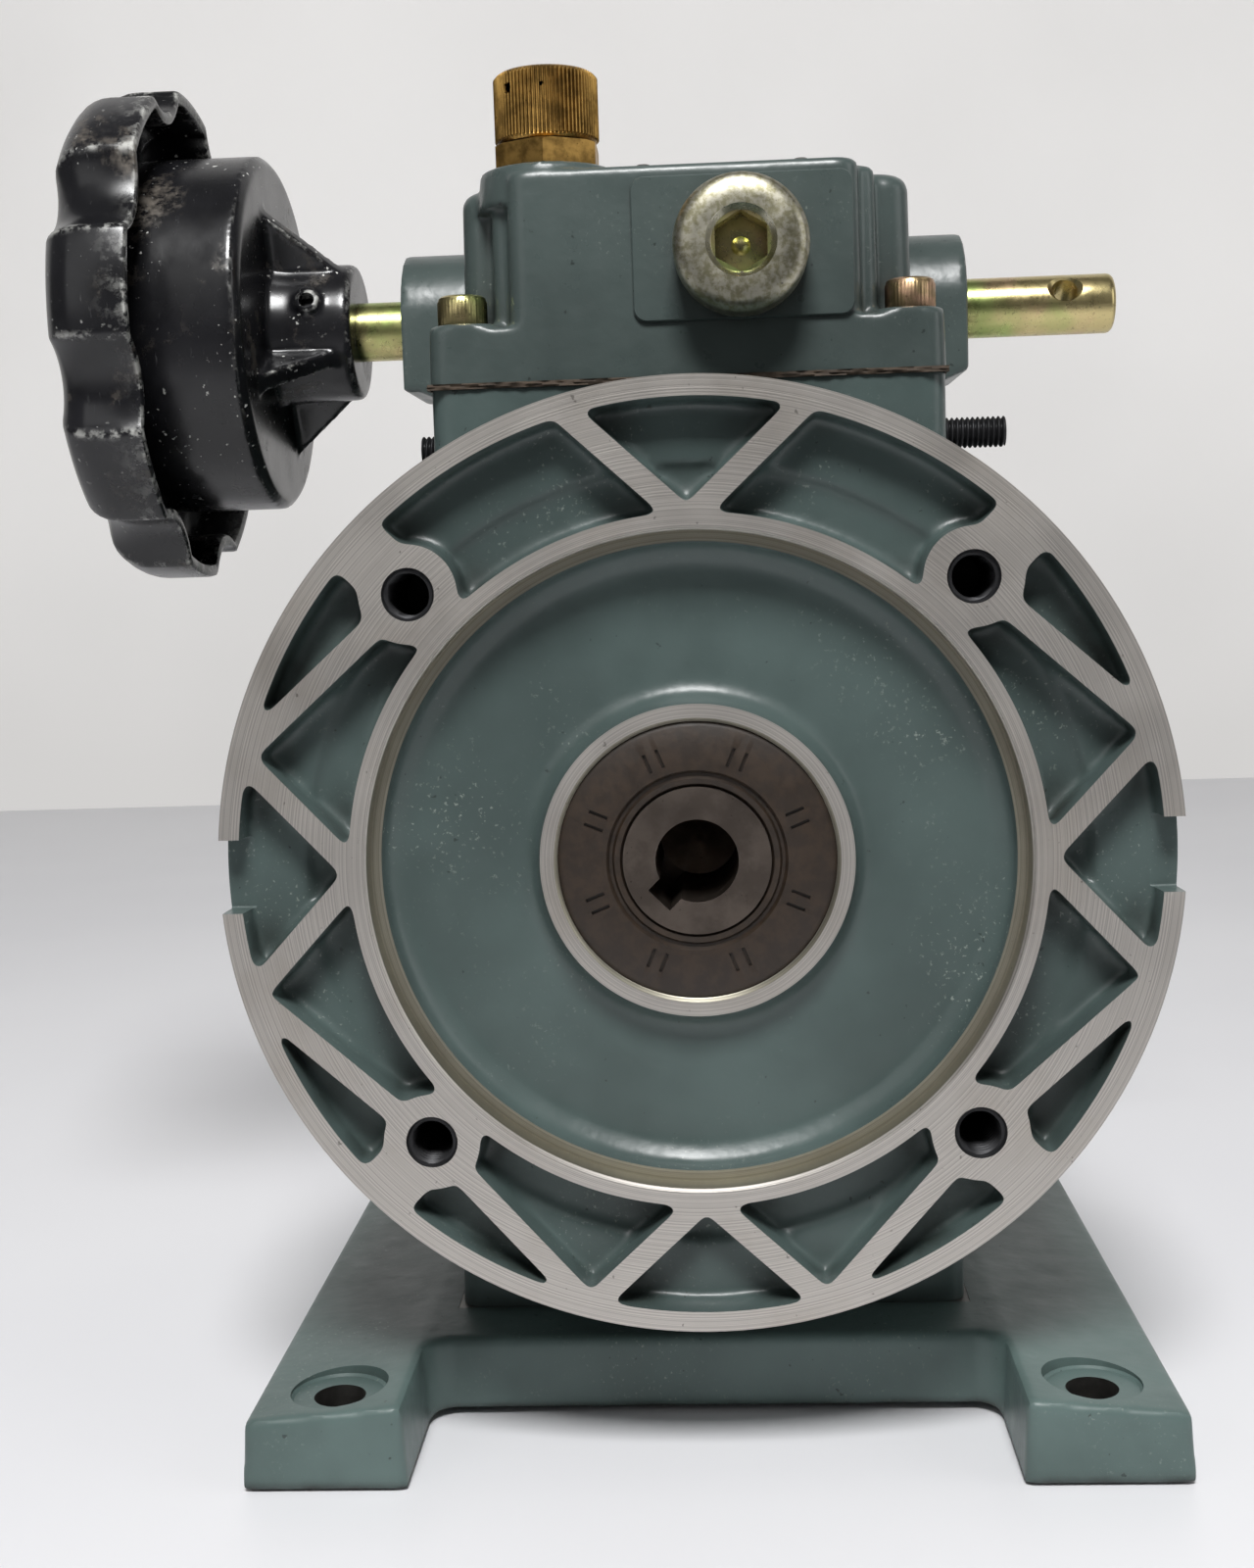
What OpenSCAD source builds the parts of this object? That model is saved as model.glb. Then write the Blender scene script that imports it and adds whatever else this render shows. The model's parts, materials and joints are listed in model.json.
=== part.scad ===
// Stepless planetary speed variator, foot mounted, with a flange for a standard motor.
// Origin: on the floor, midway between the four foot holes.  +X right, +Y from the motor side
// to the output side, +Z up.  Millimetres.
// "Depth" means distance behind the motor face, measured along +Y.

/* [Main shaft] */
// Height of the main shaft above the floor
axis_h = 105; // [100:1:115]
// How far the motor face stands in front of the middle of the foot holes
face_lead = 70.5; // [66:0.5:75]
// Outside diameter of the hollow input shaft
shaft_d = 25; // [25:0.1:25.5]
// Bore of the input shaft, for the motor shaft
bore_d = 14; // [11:0.5:14]
// Width of the key slot in both shafts
key_w = 5; // [4:0.5:6]
// Diameter of the output shaft
out_d = 14; // [11:0.5:16]
// Free length of the output shaft
out_len = 30; // [23:1:40]

/* [Motor flange] */
// Outside diameter of the flange
flange_d = 160; // [158:1:162]
// Spigot bore that centres the motor
spigot_d = 110; // [109:0.5:111]
// Depth of the spigot bore
spigot_depth = 4.8; // [3.5:0.1:4.8]
// Bolt circle of the motor screws
bolt_circle_d = 130; // [129:0.5:131]
// Diameter of the four motor screw holes
bolt_hole_d = 8.2; // [8.2:0.1:9]
// Thickness of the flange
flange_t = 12; // [11:0.5:13]
// Depth of the pockets between the ribs
pocket_depth = 6; // [5:0.5:7]
// Width of the ribs
rib_w = 3.4; // [3:0.1:4]

/* [Foot] */
// Width over both feet
foot_w = 160; // [156:1:170]
// Width of each foot
foot_leg_w = 28; // [26:1:30]
// Distance between the foot holes, along X and along Y
foot_hole_pitch = 130; // [128:1:132]
// Diameter of the foot holes
foot_hole_d = 9; // [8:0.5:10]
// Distance from a foot hole to the end of its foot
foot_end = 11.5; // [11:0.5:14]
// Height of the middle of the base plate
base_h = 15; // [14:0.5:15]

/* [Housing] */
// Diameter of the long bore that holds the rings
bore_main_d = 124; // [124:0.1:124.2]
// Wall of the round part
wall = 5.5; // [5:0.5:6]
// Width of the square top
top_w = 94; // [92:1:96]
// Height of the gasket plane above the main shaft
gasket_h = 83; // [82:0.5:84]

/* [Control box] */
// Height of the spindle above the main shaft
spindle_h = 100.6; // [100:0.1:101]
// Depth of the spindle
spindle_depth = 95; // [94.5:0.5:95.5]
// Diameter of the spindle
spindle_d = 12; // [12:0.1:12.1]
// Height of the top of the box above the main shaft
box_top_h = 121.4; // [120:0.1:123]
// Width of the box between its corner recesses
box_front_w = 64; // [62:1:66]
// Width of the box behind its corner recesses
box_w = 85; // [83:1:86]

/* [Handwheel] */
// Diameter over the lobes
wheel_d = 100; // [98:1:104]
// Diameter of the drum
drum_d = 72; // [70:1:74]
// Diameter of the boss
boss_d = 28; // [26:1:30]
// Number of finger recesses
scallops = 8; // [5:1:9]
// Radius of the curve of a finger recess
scallop_r = 13.2; // [12:0.1:15]
// Depth of a finger recess
scallop_depth = 4.5; // [3:0.1:5]

/* [Friction drive] */
// Radius at which the sun discs touch the planet discs
sun_touch_r = 24; // [24:0.1:24.2]
// Radius at which the outer rings touch the planet discs
ring_touch_r = 46; // [45.9:0.1:46]
// Radius of the circle of planet axes, in mid travel
planet_circle_r = 35; // [34.9:0.1:35.1]
// Radius of a planet disc
planet_r = 17; // [16:0.5:17]
// Slope of the conical face of a planet disc
cone_slope = 0.08; // [0.06:0.01:0.09]

/* [Hidden] */
$fn = 96;
eps = 0.01;
gap = 0.05;

paint = [0.30, 0.38, 0.36];
iron = [0.55, 0.55, 0.53];
steel = [0.66, 0.66, 0.67];
zinc = [0.75, 0.70, 0.52];
brass = [0.74, 0.58, 0.28];
bronze = [0.70, 0.50, 0.25];
rubber = [0.22, 0.16, 0.12];
black = [0.05, 0.05, 0.055];

// Positions along the main shaft, as depths behind the motor face
hub_depth = 5;
seal_depth = 5.5;
seal_t = 7;
in_bearing_depth = 13.5;
out_bearing_depths = [116.5, 142];
bearing_t = 12;
joint_depth = 33;
housing_end = 147;
cover_end = 156;
out_hub_end = 164;
out_start = 165;
out_end = out_start + out_len;
ring_depth = 63;
plane_depth = 75;
planet_t = 8;
cam_depth = 94;
cam_t = 12;
ball_depth = 92.6;
carrier_depth = 97;
carrier_t = 10;
stud_depth = 70;
stud_h = 73.6;
out_key_turn = 23;
box_depth = [42, 148];
corner_depth = 13;
screw_x = 41.5;
screw_depths = [50, 140];

// Sizes that follow from the driving dimensions
flange_r = flange_d / 2;
spigot_r = spigot_d / 2;
bolt_r = bolt_circle_d / 2;
bore_r = bore_main_d / 2;
body_r = bore_r + wall;
shaft_r = shaft_d / 2;
end_flange_r = 79;
mid_y = 7.5;
spindle_z = axis_h + spindle_h;
spindle_r = spindle_d / 2;
planets = 5;
cone_peak = plane_depth + 0.03 + planet_t;

function y_of(depth) = depth - face_lead;

// ---------- helpers ----------

// Turned part about the main shaft; points are [radius, depth]
module turned(points) {
    translate([0, -face_lead, axis_h]) rotate([-90, 0, 0]) rotate_extrude() polygon(points);
}

// Plain ring about the main shaft
module sleeve(r_in, r_out, d0, d1) {
    turned([[r_in, d0], [r_out, d0], [r_out, d1], [r_in, d1]]);
}

// Flat outline drawn as seen from the motor side, filled between two depths
module plate(d0, d1) {
    translate([0, y_of(d1), axis_h]) rotate([90, 0, 0]) linear_extrude(d1 - d0) children();
}

// Round bar along the shaft direction at a place seen from the motor side
module rod_y(x, h, r, d0, d1) {
    translate([x, y_of(d0), axis_h + h]) rotate([-90, 0, 0]) cylinder(r = r, h = d1 - d0);
}

// Block given by X range, depth range and height range above the main shaft
module block(x, d, h) {
    translate([x[0], y_of(d[0]), axis_h + h[0]])
        cube([x[1] - x[0], d[1] - d[0], h[1] - h[0]]);
}

// Turned part about the spindle; points are [radius, x]
module spindle_turned(points) {
    translate([0, y_of(spindle_depth), spindle_z]) rotate([0, 90, 0]) rotate_extrude()
        polygon(points);
}

// Outline across the spindle (first axis down, second axis back), filled between two X values
module spindle_plate(x0, x1) {
    translate([x0, y_of(spindle_depth), spindle_z]) rotate([0, 90, 0])
        linear_extrude(x1 - x0) children();
}

module upright(x, depth, h0, h1, r, r_top = undef) {
    translate([x, y_of(depth), axis_h + h0])
        cylinder(r1 = r, r2 = r_top == undef ? r : r_top, h = h1 - h0);
}

// Rectangle with round corners, centred
module round_rect(w, h, r) {
    square([w - 2 * r, h], center = true);
    square([w, h - 2 * r], center = true);
    for (x = [-1, 1], y = [-1, 1])
        translate([x * (w / 2 - r), y * (h / 2 - r)]) circle(r);
}

// Socket head screw along +Z, head on top of z = 0
module socket_screw(d, head_d, head_h, len) {
    difference() {
        cylinder(d = head_d, h = head_h);
        translate([0, 0, head_h * 0.45]) cylinder(d = d * 0.95, h = head_h, $fn = 6);
    }
    translate([0, 0, -len]) cylinder(d = d, h = len + eps);
}

// ---------- base ----------

module base_foot() {
    end_y = foot_hole_pitch / 2 + foot_end;
    hole = foot_hole_pitch / 2;
    inner_x = foot_w / 2 - foot_leg_w;
    color(paint) difference() {
        union() {
            for (m = [0, 1]) mirror([m, 0, 0]) translate([0, end_y, 0]) rotate([90, 0, 0])
                linear_extrude(2 * end_y)
                    polygon([
                        [inner_x, 0], [foot_w / 2, 0],
                        [foot_w / 2, base_h - 2.5], [inner_x, base_h]
                    ]);
            translate([-inner_x - eps, mid_y - 55, 1.5])
                cube([2 * inner_x + 2 * eps, 110, base_h - 1.5]);
        }
        for (x = [-hole, hole], y = [-hole, hole]) translate([x, y, 0]) {
            translate([0, 0, -1]) cylinder(d = foot_hole_d, h = base_h + 2);
            translate([0, 0, base_h - 2.2]) cylinder(d = 17, h = 5);
        }
        for (x = [-38, 38], y = [mid_y - 30, mid_y + 30]) translate([x, y, 0]) {
            cylinder(d = 9, h = base_h + 1);
            cylinder(d = 14.5, h = 10);
        }
        translate([-24, mid_y - 22, 0]) cube([48, 44, base_h + 1]);
    }
}

module foot_screws() {
    color(zinc) for (x = [-38, 38], y = [mid_y - 30, mid_y + 30])
        translate([x, y, 10 - gap]) rotate([180, 0, 0]) socket_screw(8, 13, 8, 18);
}

// ---------- housing ----------

flange_screw_angles = [0, 38, -38, 180, 142, 218];
flange_screw_r = 73;

module at_flange_screws() {
    for (a = flange_screw_angles)
        translate([flange_screw_r * cos(a), 0, axis_h + flange_screw_r * sin(a)]) children();
}

module main_housing() {
    half = top_w / 2;
    color(paint) difference() {
        union() {
            sleeve(20, body_r, joint_depth, housing_end);
            sleeve(20, end_flange_r, joint_depth, joint_depth + 9);
            sleeve(20, end_flange_r, housing_end - 9, housing_end);
            block([-half, half], [42, housing_end], [30, gasket_h]);
            block([-48, 48], [38, 118], [base_h - axis_h, -40]);
            for (x = [-60, 60]) block([x - 3, x + 3], [41, 139], [-31, 31]);
        }
        sleeve(0, bore_r, joint_depth - 1, housing_end + 1);
        block([-half + 6, half - 6], [50, 140], [45, gasket_h + 1]);
        block([-30, 30], [48, 108], [base_h - axis_h - 1, base_h - axis_h + 14]);
        for (x = [-screw_x, screw_x], d = screw_depths) upright(x, d, 64, gasket_h + 1, 3 + gap);
        for (x = [-38, 38], d = [48, 108])
            upright(x, d, base_h - axis_h - 1, base_h - axis_h + 16, 4 + gap);
        at_flange_screws() {
            translate([0, y_of(joint_depth - 1), 0]) rotate([-90, 0, 0]) cylinder(r = 3.3, h = 11);
            translate([0, y_of(housing_end - 10), 0]) rotate([-90, 0, 0])
                cylinder(r = 3 + gap, h = 11);
        }
        for (s = [-1, 1]) translate([s * half, y_of(stud_depth), axis_h + stud_h])
            rotate([0, 90, 0]) cylinder(r = 3 + gap, h = 14, center = true);
        // slot that keeps both rings from turning
        block([-3.1, 3.1], [60, 92], [-bore_r - 3.2, -bore_r + 1]);
    }
    color(paint) for (x = [-1, 1], d = screw_depths) difference() {
        block(x > 0 ? [half - 13, half] : [-half, 13 - half], [d - 8, d + 7], [52, gasket_h]);
        sleeve(0, body_r - 1, 30, 150);
        upright(x * screw_x, d, 64, gasket_h + 1, 3 + gap);
    }
}

// One radial rib between two points of the flange face, given as [radius, angle]
module rib(a, b) {
    p = a[0] * [cos(a[1]), sin(a[1])];
    q = b[0] * [cos(b[1]), sin(b[1])];
    d = q - p;
    translate(p) rotate(atan2(d[1], d[0])) translate([0, -rib_w / 2]) square([norm(d), rib_w]);
}

module flange_face() {
    boss_r = 8;
    rim_w = 3.2;
    difference() {
        union() {
            difference() {
                circle(flange_r);
                circle(flange_r - rim_w);
            }
            difference() {
                circle(spigot_r + 2.5);
                circle(spigot_r);
            }
            for (k = [0 : 3], s = [-1, 1])
                rib([spigot_r + 1.5, 90 * k], [flange_r - 2, 90 * k + 15 * s]);
            for (k = [0 : 3]) rotate(45 + 90 * k) {
                translate([bolt_r, 0]) circle(boss_r);
                translate([bolt_r, -5]) square([flange_r - 2 - bolt_r, 10]);
                translate([spigot_r + 1, -5]) square([bolt_r - spigot_r - 1, 10]);
            }
            for (a = [[45, 15], [-45, -15], [-45, -75], [225, 195], [225, 255], [135, 165]])
                rib([bolt_r, a[0]], [flange_r - 2, a[1]]);
        }
        for (s = [0, 180]) rotate(s) translate([flange_r - 4, -6]) square([8, 12]);
        circle(spigot_r);
    }
}

// Blind bosses behind the flange that close the motor screw holes.
bolt_boss_r = 8;
bolt_boss_end = 25;

module at_motor_bolts() {
    for (k = [0 : 3])
        translate([bolt_r * cos(45 + 90 * k), 0, bolt_r * sin(45 + 90 * k)]) children();
}

module input_flange() {
    color(paint) difference() {
        union() {
            turned([
                [23.5, hub_depth], [26, hub_depth], [28.5, 9], [50.5, 9],
                [spigot_r - 2, spigot_depth], [spigot_r, spigot_depth], [spigot_r, pocket_depth],
                [flange_r - 0.5, pocket_depth], [flange_r - 0.5, flange_t], [66, flange_t], [66, 24],
                [end_flange_r, 24], [end_flange_r, joint_depth], [bore_r - 0.1, joint_depth],
                [bore_r - 0.1, 37], [57, 37], [57, 20], [50, 15], [32, 15], [30, 28], [20, 28],
                [20, 25.6], [23.5, 25.6]
            ]);
            plate(0, pocket_depth + eps) flange_face();
            at_motor_bolts() rod_y(0, 0, bolt_boss_r, flange_t - 1, bolt_boss_end);
        }
        at_motor_bolts() rod_y(0, 0, bolt_hole_d / 2, -1, bolt_boss_end - 3);
        at_flange_screws() translate([0, y_of(26), 0]) rotate([-90, 0, 0])
            cylinder(r = 3 + gap, h = 10);
    }
}

module flange_screws() {
    color(zinc) at_flange_screws() translate([0, y_of(joint_depth + 9 + gap), 0])
        rotate([-90, 0, 0]) socket_screw(6, 10, 6, 14);
}

plug_place = [10.4, 105.4];
breather_place = [-25, 56];
breather_h = 123.1;
breather_hex = 18.5;
cap_h = [breather_h + 5.2, breather_h + 17.9];
drain_place = [0, -45];
glass_place = [43.5, -11.6];
plug_thread_r = 8.3;
plug_hex = 9.2;

module output_cover() {
    color(paint) difference() {
        turned([
            [21.05, 116], [28, 116], [28, 142], [30, 149], [56, 149], [56, 106.1],
            [bore_r - 0.1, 106.1], [bore_r - 0.1, housing_end], [end_flange_r, housing_end],
            [end_flange_r, cover_end], [32, cover_end], [30, out_hub_end], [17.55, out_hub_end],
            [17.55, 156.8], [15, 156.8], [15, 154.3], [21.05, 154.3]
        ]);
        at_flange_screws() translate([0, y_of(housing_end - 1), 0]) rotate([-90, 0, 0])
            cylinder(r = 3.3, h = 11);
        for (p = [drain_place, glass_place])
            rod_y(p[0], p[1], plug_thread_r + gap, 140, cover_end + 1);
    }
}

module output_cover_screws() {
    color(zinc) at_flange_screws() translate([0, y_of(cover_end + gap), 0])
        rotate([-90, 0, 0]) socket_screw(6, 10, 6, 17);
}

// ---------- control cover ----------

module box_outline(inset) {
    front = box_front_w / 2 - inset;
    side = box_w / 2 - inset;
    h = box_top_h - gasket_h - 0.6;
    d0 = box_depth[0] + inset;
    d1 = box_depth[1] - inset;
    translate([0, 0, axis_h + gasket_h + 0.6]) linear_extrude(h) {
        translate([-front, y_of(d0)]) square([2 * front, d1 - d0]);
        translate([-side, y_of(d0 + corner_depth)]) square([2 * side, d1 - d0 - 2 * corner_depth]);
    }
}

module cover_boss(x0, x1) {
    flat = spindle_h - 86.5;
    difference() {
        spindle_plate(x0, x1) {
            circle(15);
            translate([0, -15]) square([flat, 30]);
        }
        translate([x0 - 1, -200, axis_h]) cube([x1 - x0 + 2, 400, 86.5]);
    }
}

module control_cover() {
    plate_h = [gasket_h + 0.6, 93.6];
    x = 47.25;
    color(paint) difference() {
        union() {
            block([-x, x], box_depth, plate_h);
            for (sx = [-1, 1], d = [box_depth[0] + 6.5, box_depth[1] - 6.5])
                block([sx * 40.5 - 6.5, sx * 40.5 + 6.5], [d - 6.3, d + 6.3], [90, 94.6]);
            box_outline(0);
            cover_boss(-58, -30);
            cover_boss(30, 56);
            block([-9.2, 30.8], [box_depth[0] - 0.9, box_depth[0] + 1], [93.6, 119]);
            upright(breather_place[0], breather_place[1], 118, breather_h, 13, 12.5);
            for (m = [0, 1]) mirror([m, 0, 0])
                translate([0, y_of(110), axis_h]) rotate([90, 0, 0]) linear_extrude(30)
                    polygon([[46, 84], [47.5, 84], [55, 86.6], [55, 89], [46, 89]]);
        }
        difference() {
            box_outline(5);
            block([-60, 60], [0, 200], [116, 130]);
        }
        block([-34, 34], [60, 130], [80, 90]);
        block([-27, 27], [48, 142], [80, 90]);
        spindle_turned([[0, -70], [8, -70], [8, 70], [0, 70]]);
        rod_y(plug_place[0], plug_place[1], plug_thread_r + gap, 35, 50);
        upright(breather_place[0], breather_place[1], 110, 130, 6 + gap);
        for (sx = [-screw_x, screw_x], d = screw_depths) upright(sx, d, 80, 100, 3.3);
    }
}

module cover_gasket() {
    x = 47.6;
    color([0.40, 0.31, 0.22]) difference() {
        block([-x, x], [41.6, 147.4], [gasket_h + 0.03, gasket_h + 0.57]);
        block([-38, 38], [58, 132], [gasket_h - 1, gasket_h + 2]);
        block([-33, 33], [47, 143], [gasket_h - 1, gasket_h + 2]);
        for (sx = [-screw_x, screw_x], d = screw_depths) upright(sx, d, 80, 90, 3.3);
    }
}

module cover_screws() {
    color(zinc) for (sx = [-screw_x, screw_x], d = screw_depths)
        translate([sx, y_of(d), axis_h + 94.6 + gap]) socket_screw(6, 9.2, 5.8, 24);
}

// ---------- oil fittings ----------

// Hollow hexagon plug, screwed in along -Z with its head on top of z = 0
module plug_solid() {
    difference() {
        rotate_extrude() polygon([
            [0, -9], [plug_thread_r, -9], [plug_thread_r, 1.6], [12.1, 1.6], [12.1, 10.2],
            [10.9, 11.4], [0, 11.4]
        ]);
        translate([0, 0, 4.4]) rotate(30) cylinder(d = plug_hex / cos(30), h = 10, $fn = 6);
    }
}

// Seat of a fitting; dir is -1 when its head faces the motor side, 1 for the output side
module at_plug(place, depth, dir) {
    translate([place[0], y_of(depth), axis_h + place[1]]) rotate([-90 * dir, 0, 0]) children();
}

module oil_plugs() {
    color(zinc) {
        at_plug(plug_place, 41.1, -1) plug_solid();
        at_plug(drain_place, cover_end, 1) plug_solid();
    }
}

module plug_washers() {
    color([0.62, 0.36, 0.22]) {
        at_plug(plug_place, 41.1, -1) washer_solid();
        at_plug(drain_place, cover_end, 1) washer_solid();
    }
}

module washer_solid() {
    translate([0, 0, 0.05]) difference() {
        cylinder(r = 11, h = 1.5);
        translate([0, 0, -1]) cylinder(r = plug_thread_r + gap, h = 4);
    }
}

module sight_glass_ring() {
    color(steel) at_plug(glass_place, cover_end + gap, 1) rotate_extrude() polygon([
        [6.5, -7], [plug_thread_r, -7], [plug_thread_r, 0], [12, 0], [12, 4], [11, 5],
        [8, 5], [8, 3], [6.5, 3]
    ]);
}

module sight_glass_window() {
    color([0.85, 0.9, 0.8, 0.5]) at_plug(glass_place, cover_end + gap, 1) translate([0, 0, 3 + eps])
        cylinder(r = 8 - gap, h = 1.5);
}

module breather_body() {
    color(brass) {
        upright(breather_place[0], breather_place[1], 110, breather_h + 1, 6);
        translate([breather_place[0], y_of(breather_place[1]), axis_h + breather_h + gap])
            rotate(30) cylinder(d = breather_hex / cos(30), h = 4.85, $fn = 6);
        upright(breather_place[0], breather_place[1], breather_h + 1, cap_h[1] - 5, 5.5);
    }
}

module breather_cap() {
    color(brass) difference() {
        upright(breather_place[0], breather_place[1], cap_h[0], cap_h[1], 9.75);
        upright(breather_place[0], breather_place[1], cap_h[0] - 1, cap_h[1] - 4, 5.6);
        translate([breather_place[0], y_of(breather_place[1]), axis_h + cap_h[1] - 3.4])
            rotate([90, 0, -25]) cylinder(r = 1, h = 12);
    }
}

plate_place = [7.5, 78];
plate_size = [35, 60];

module at_plate_pins() {
    for (sx = [-1, 1], sd = [-1, 1])
        translate([
            plate_place[0] + sx * (plate_size[0] / 2 - 3),
            y_of(plate_place[1] + sd * (plate_size[1] / 2 - 3)), axis_h + box_top_h
        ]) children();
}

module nameplate() {
    color([0.78, 0.78, 0.76]) difference() {
        translate([plate_place[0], y_of(plate_place[1]), axis_h + box_top_h + 0.02])
            linear_extrude(0.8) round_rect(plate_size[0], plate_size[1], 2);
        at_plate_pins() translate([0, 0, -1]) cylinder(r = 1.1, h = 4);
    }
}

module nameplate_pins() {
    color(steel) at_plate_pins() {
        translate([0, 0, 0.02]) cylinder(r = 1, h = 1);
        translate([0, 0, 0.85]) cylinder(r1 = 1.9, r2 = 1.2, h = 0.8);
    }
}

module stud(x0, x1) {
    translate([x0, y_of(stud_depth), axis_h + stud_h]) rotate([0, 90, 0]) difference() {
        cylinder(r = 3, h = x1 - x0);
        translate([0, 0, x0 > 0 ? x1 - x0 - 4 : -1]) cylinder(d = 3.4, h = 5, $fn = 6);
    }
}

module stop_stud_left() {
    color(black) stud(-53, -18);
}

module stop_stud_right() {
    color(black) stud(17.6, 61.5);
}

// ---------- input side ----------

module input_shaft() {
    bore_end = 36;
    color(steel) difference() {
        turned([
            [bore_d / 2, seal_depth], [shaft_r, seal_depth], [shaft_r, 25.7], [15, 25.7],
            [15, 60], [shaft_r, 60], [shaft_r, 96.3], [8, 96.3], [8, 110], [0, 110],
            [0, bore_end + 3], [bore_d / 2, bore_end]
        ]);
        translate([0, y_of(0), axis_h]) rotate([0, 135, 0])
            translate([0, seal_depth - 1, -key_w / 2])
                cube([bore_d / 2 + 2.3, bore_end - seal_depth + 1, key_w]);
    }
}

module input_seal() {
    color(rubber) turned([
        [shaft_r + gap, seal_depth + 0.4], [13.6, seal_depth], [15.4, seal_depth],
        [16, seal_depth + 1], [16.6, seal_depth], [23.45, seal_depth],
        [23.45, seal_depth + seal_t], [18, seal_depth + seal_t], [18, seal_depth + 3],
        [shaft_r + gap, seal_depth + 3]
    ]);
}

// Deep groove ball bearing 12 wide; outer and inner rings share one ball track
module bearing_outer(d, r_out, ball_r, track_r) {
    difference() {
        sleeve(track_r + ball_r * 0.55, r_out, d, d + bearing_t);
        ball_track(d, ball_r, track_r);
    }
}

module bearing_inner(d, r_in, ball_r, track_r) {
    difference() {
        sleeve(r_in, track_r - ball_r * 0.55, d, d + bearing_t);
        ball_track(d, ball_r, track_r);
    }
}

module ball_track(d, ball_r, track_r) {
    translate([0, y_of(d + bearing_t / 2), axis_h]) rotate([-90, 0, 0]) rotate_extrude()
        translate([track_r, 0]) circle(ball_r + 0.03);
}

module bearing_ball_row(d, count, ball_r, track_r) {
    translate([0, y_of(d + bearing_t / 2), axis_h]) for (i = [0 : count - 1])
        rotate([0, 360 / count * i, 0]) translate([track_r, 0, 0]) sphere(r = ball_r);
}

in_ball = [3.9, 18];
out_ball = [3.2, 15.5];

module input_bearing_outer() {
    color(steel) bearing_outer(in_bearing_depth, 23.48, in_ball[0], in_ball[1]);
}

module input_bearing_inner() {
    color(steel) bearing_inner(in_bearing_depth, shaft_r + 0.01, in_ball[0], in_ball[1]);
}

module input_bearing_balls() {
    color(steel) bearing_ball_row(in_bearing_depth, 9, in_ball[0], in_ball[1]);
}

module sun_disc_front() {
    r = sun_touch_r;
    color(iron) turned([
        [shaft_r + 0.02, 60.02], [17, 60.02], [17, 67], [r + 1, 69], [r + 1, 74.2],
        [r + 0.4, plane_depth], [r - 0.6, plane_depth], [r - 1.2, 74.2], [shaft_r + 0.02, 74.2]
    ]);
}

module sun_disc_rear() {
    r = sun_touch_r;
    touch = cone_peak - cone_slope * (planet_circle_r - r);
    color(iron) turned([
        [shaft_r + 0.03, touch + 1], [r - 1.6, touch + 1], [r - 0.8, touch + 0.1],
        [r + 0.3, touch + 0.1], [r + 1, touch + 0.9], [r + 1, 87], [17, 88.4], [17, 89],
        [shaft_r + 0.03, 89]
    ]);
}

module disc_springs() {
    color(black) turned([
        [shaft_r + 0.1, 90.3], [19, 89.35], [19, 90.2], [18.6, 91.2], [19, 92.1], [19, 93],
        [shaft_r + 0.1, 92.4]
    ]);
}

module spring_nut() {
    color(steel) sleeve(shaft_r + 0.02, 18, 93.1, 96.2);
}

// ---------- outer rings and cam ----------

module ring_lug(d0, d1) {
    block([-3, 3], [d0, d1], [-bore_r - 3, -bore_r + 2]);
}

module fixed_ring() {
    r = ring_touch_r;
    color(iron) {
        turned([
            [r + 2, ring_depth], [bore_r - 0.05, ring_depth], [bore_r - 0.05, 74.2],
            [r + 1.4, 74.2], [r + 0.8, plane_depth], [r - 0.2, plane_depth], [r - 0.7, 74.2],
            [r - 0.7, 68]
        ]);
        ring_lug(ring_depth, 74.2);
    }
}

module movable_ring() {
    r = ring_touch_r;
    touch = cone_peak - cone_slope * (r - planet_circle_r);
    color(iron) difference() {
        union() {
            turned([
                [r - 0.7, touch + 1], [r - 0.4, touch + 0.1], [r + 0.8, touch + 0.1],
                [r + 1.6, touch + 1], [bore_r - 0.07, touch + 1], [bore_r - 0.07, 91],
                [r + 1, 91], [r - 0.7, 88]
            ]);
            ring_lug(touch + 1, 91);
        }
        translate([0, y_of(ball_depth), axis_h]) rotate([-90, 0, 0]) rotate_extrude()
            translate([54, 0]) circle(2.95);
    }
}

module cam_balls() {
    color(steel) {
        for (i = [0 : 7]) translate([0, y_of(ball_depth), axis_h]) rotate([0, 45 * i, 0])
            translate([54, 0, 0]) sphere(r = 2.5);
        difference() {
            sleeve(50.8, 57.2, 92.2, 93);
            for (i = [0 : 7]) translate([0, y_of(ball_depth), axis_h]) rotate([0, 45 * i, 0])
                translate([54, 0, 0]) rotate([90, 0, 0]) cylinder(r = 2.6, h = 6, center = true);
        }
    }
}

module cam_ring() {
    color(iron) difference() {
        union() {
            sleeve(48.5, bore_r - 0.08, cam_depth, cam_depth + cam_t);
            block([-6, 6], [cam_depth, cam_depth + cam_t], [55, 78]);
            block([-6, 6], [66, cam_depth + cam_t], [66, 78]);
        }
        translate([0, y_of(ball_depth), axis_h]) rotate([-90, 0, 0]) rotate_extrude()
            translate([54, 0]) circle(2.55);
        upright(0, spindle_depth, 70, 80, 3.02);
    }
}

peg_h = 89.8;

module speed_peg() {
    color(steel) {
        upright(0, spindle_depth, 70.05, peg_h, 3);
        upright(0, spindle_depth, 78.05, 80, 4.5);
        translate([0, y_of(spindle_depth), axis_h + peg_h]) sphere(r = 4);
    }
}

// ---------- planets and output ----------

// Planet number 1 stands at the top; the others follow anticlockwise seen from the motor side
module at_planet(i) {
    a = 90 + 360 / planets * (i - 1);
    translate([planet_circle_r * cos(a), 0, planet_circle_r * sin(a)]) children();
}

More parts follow.
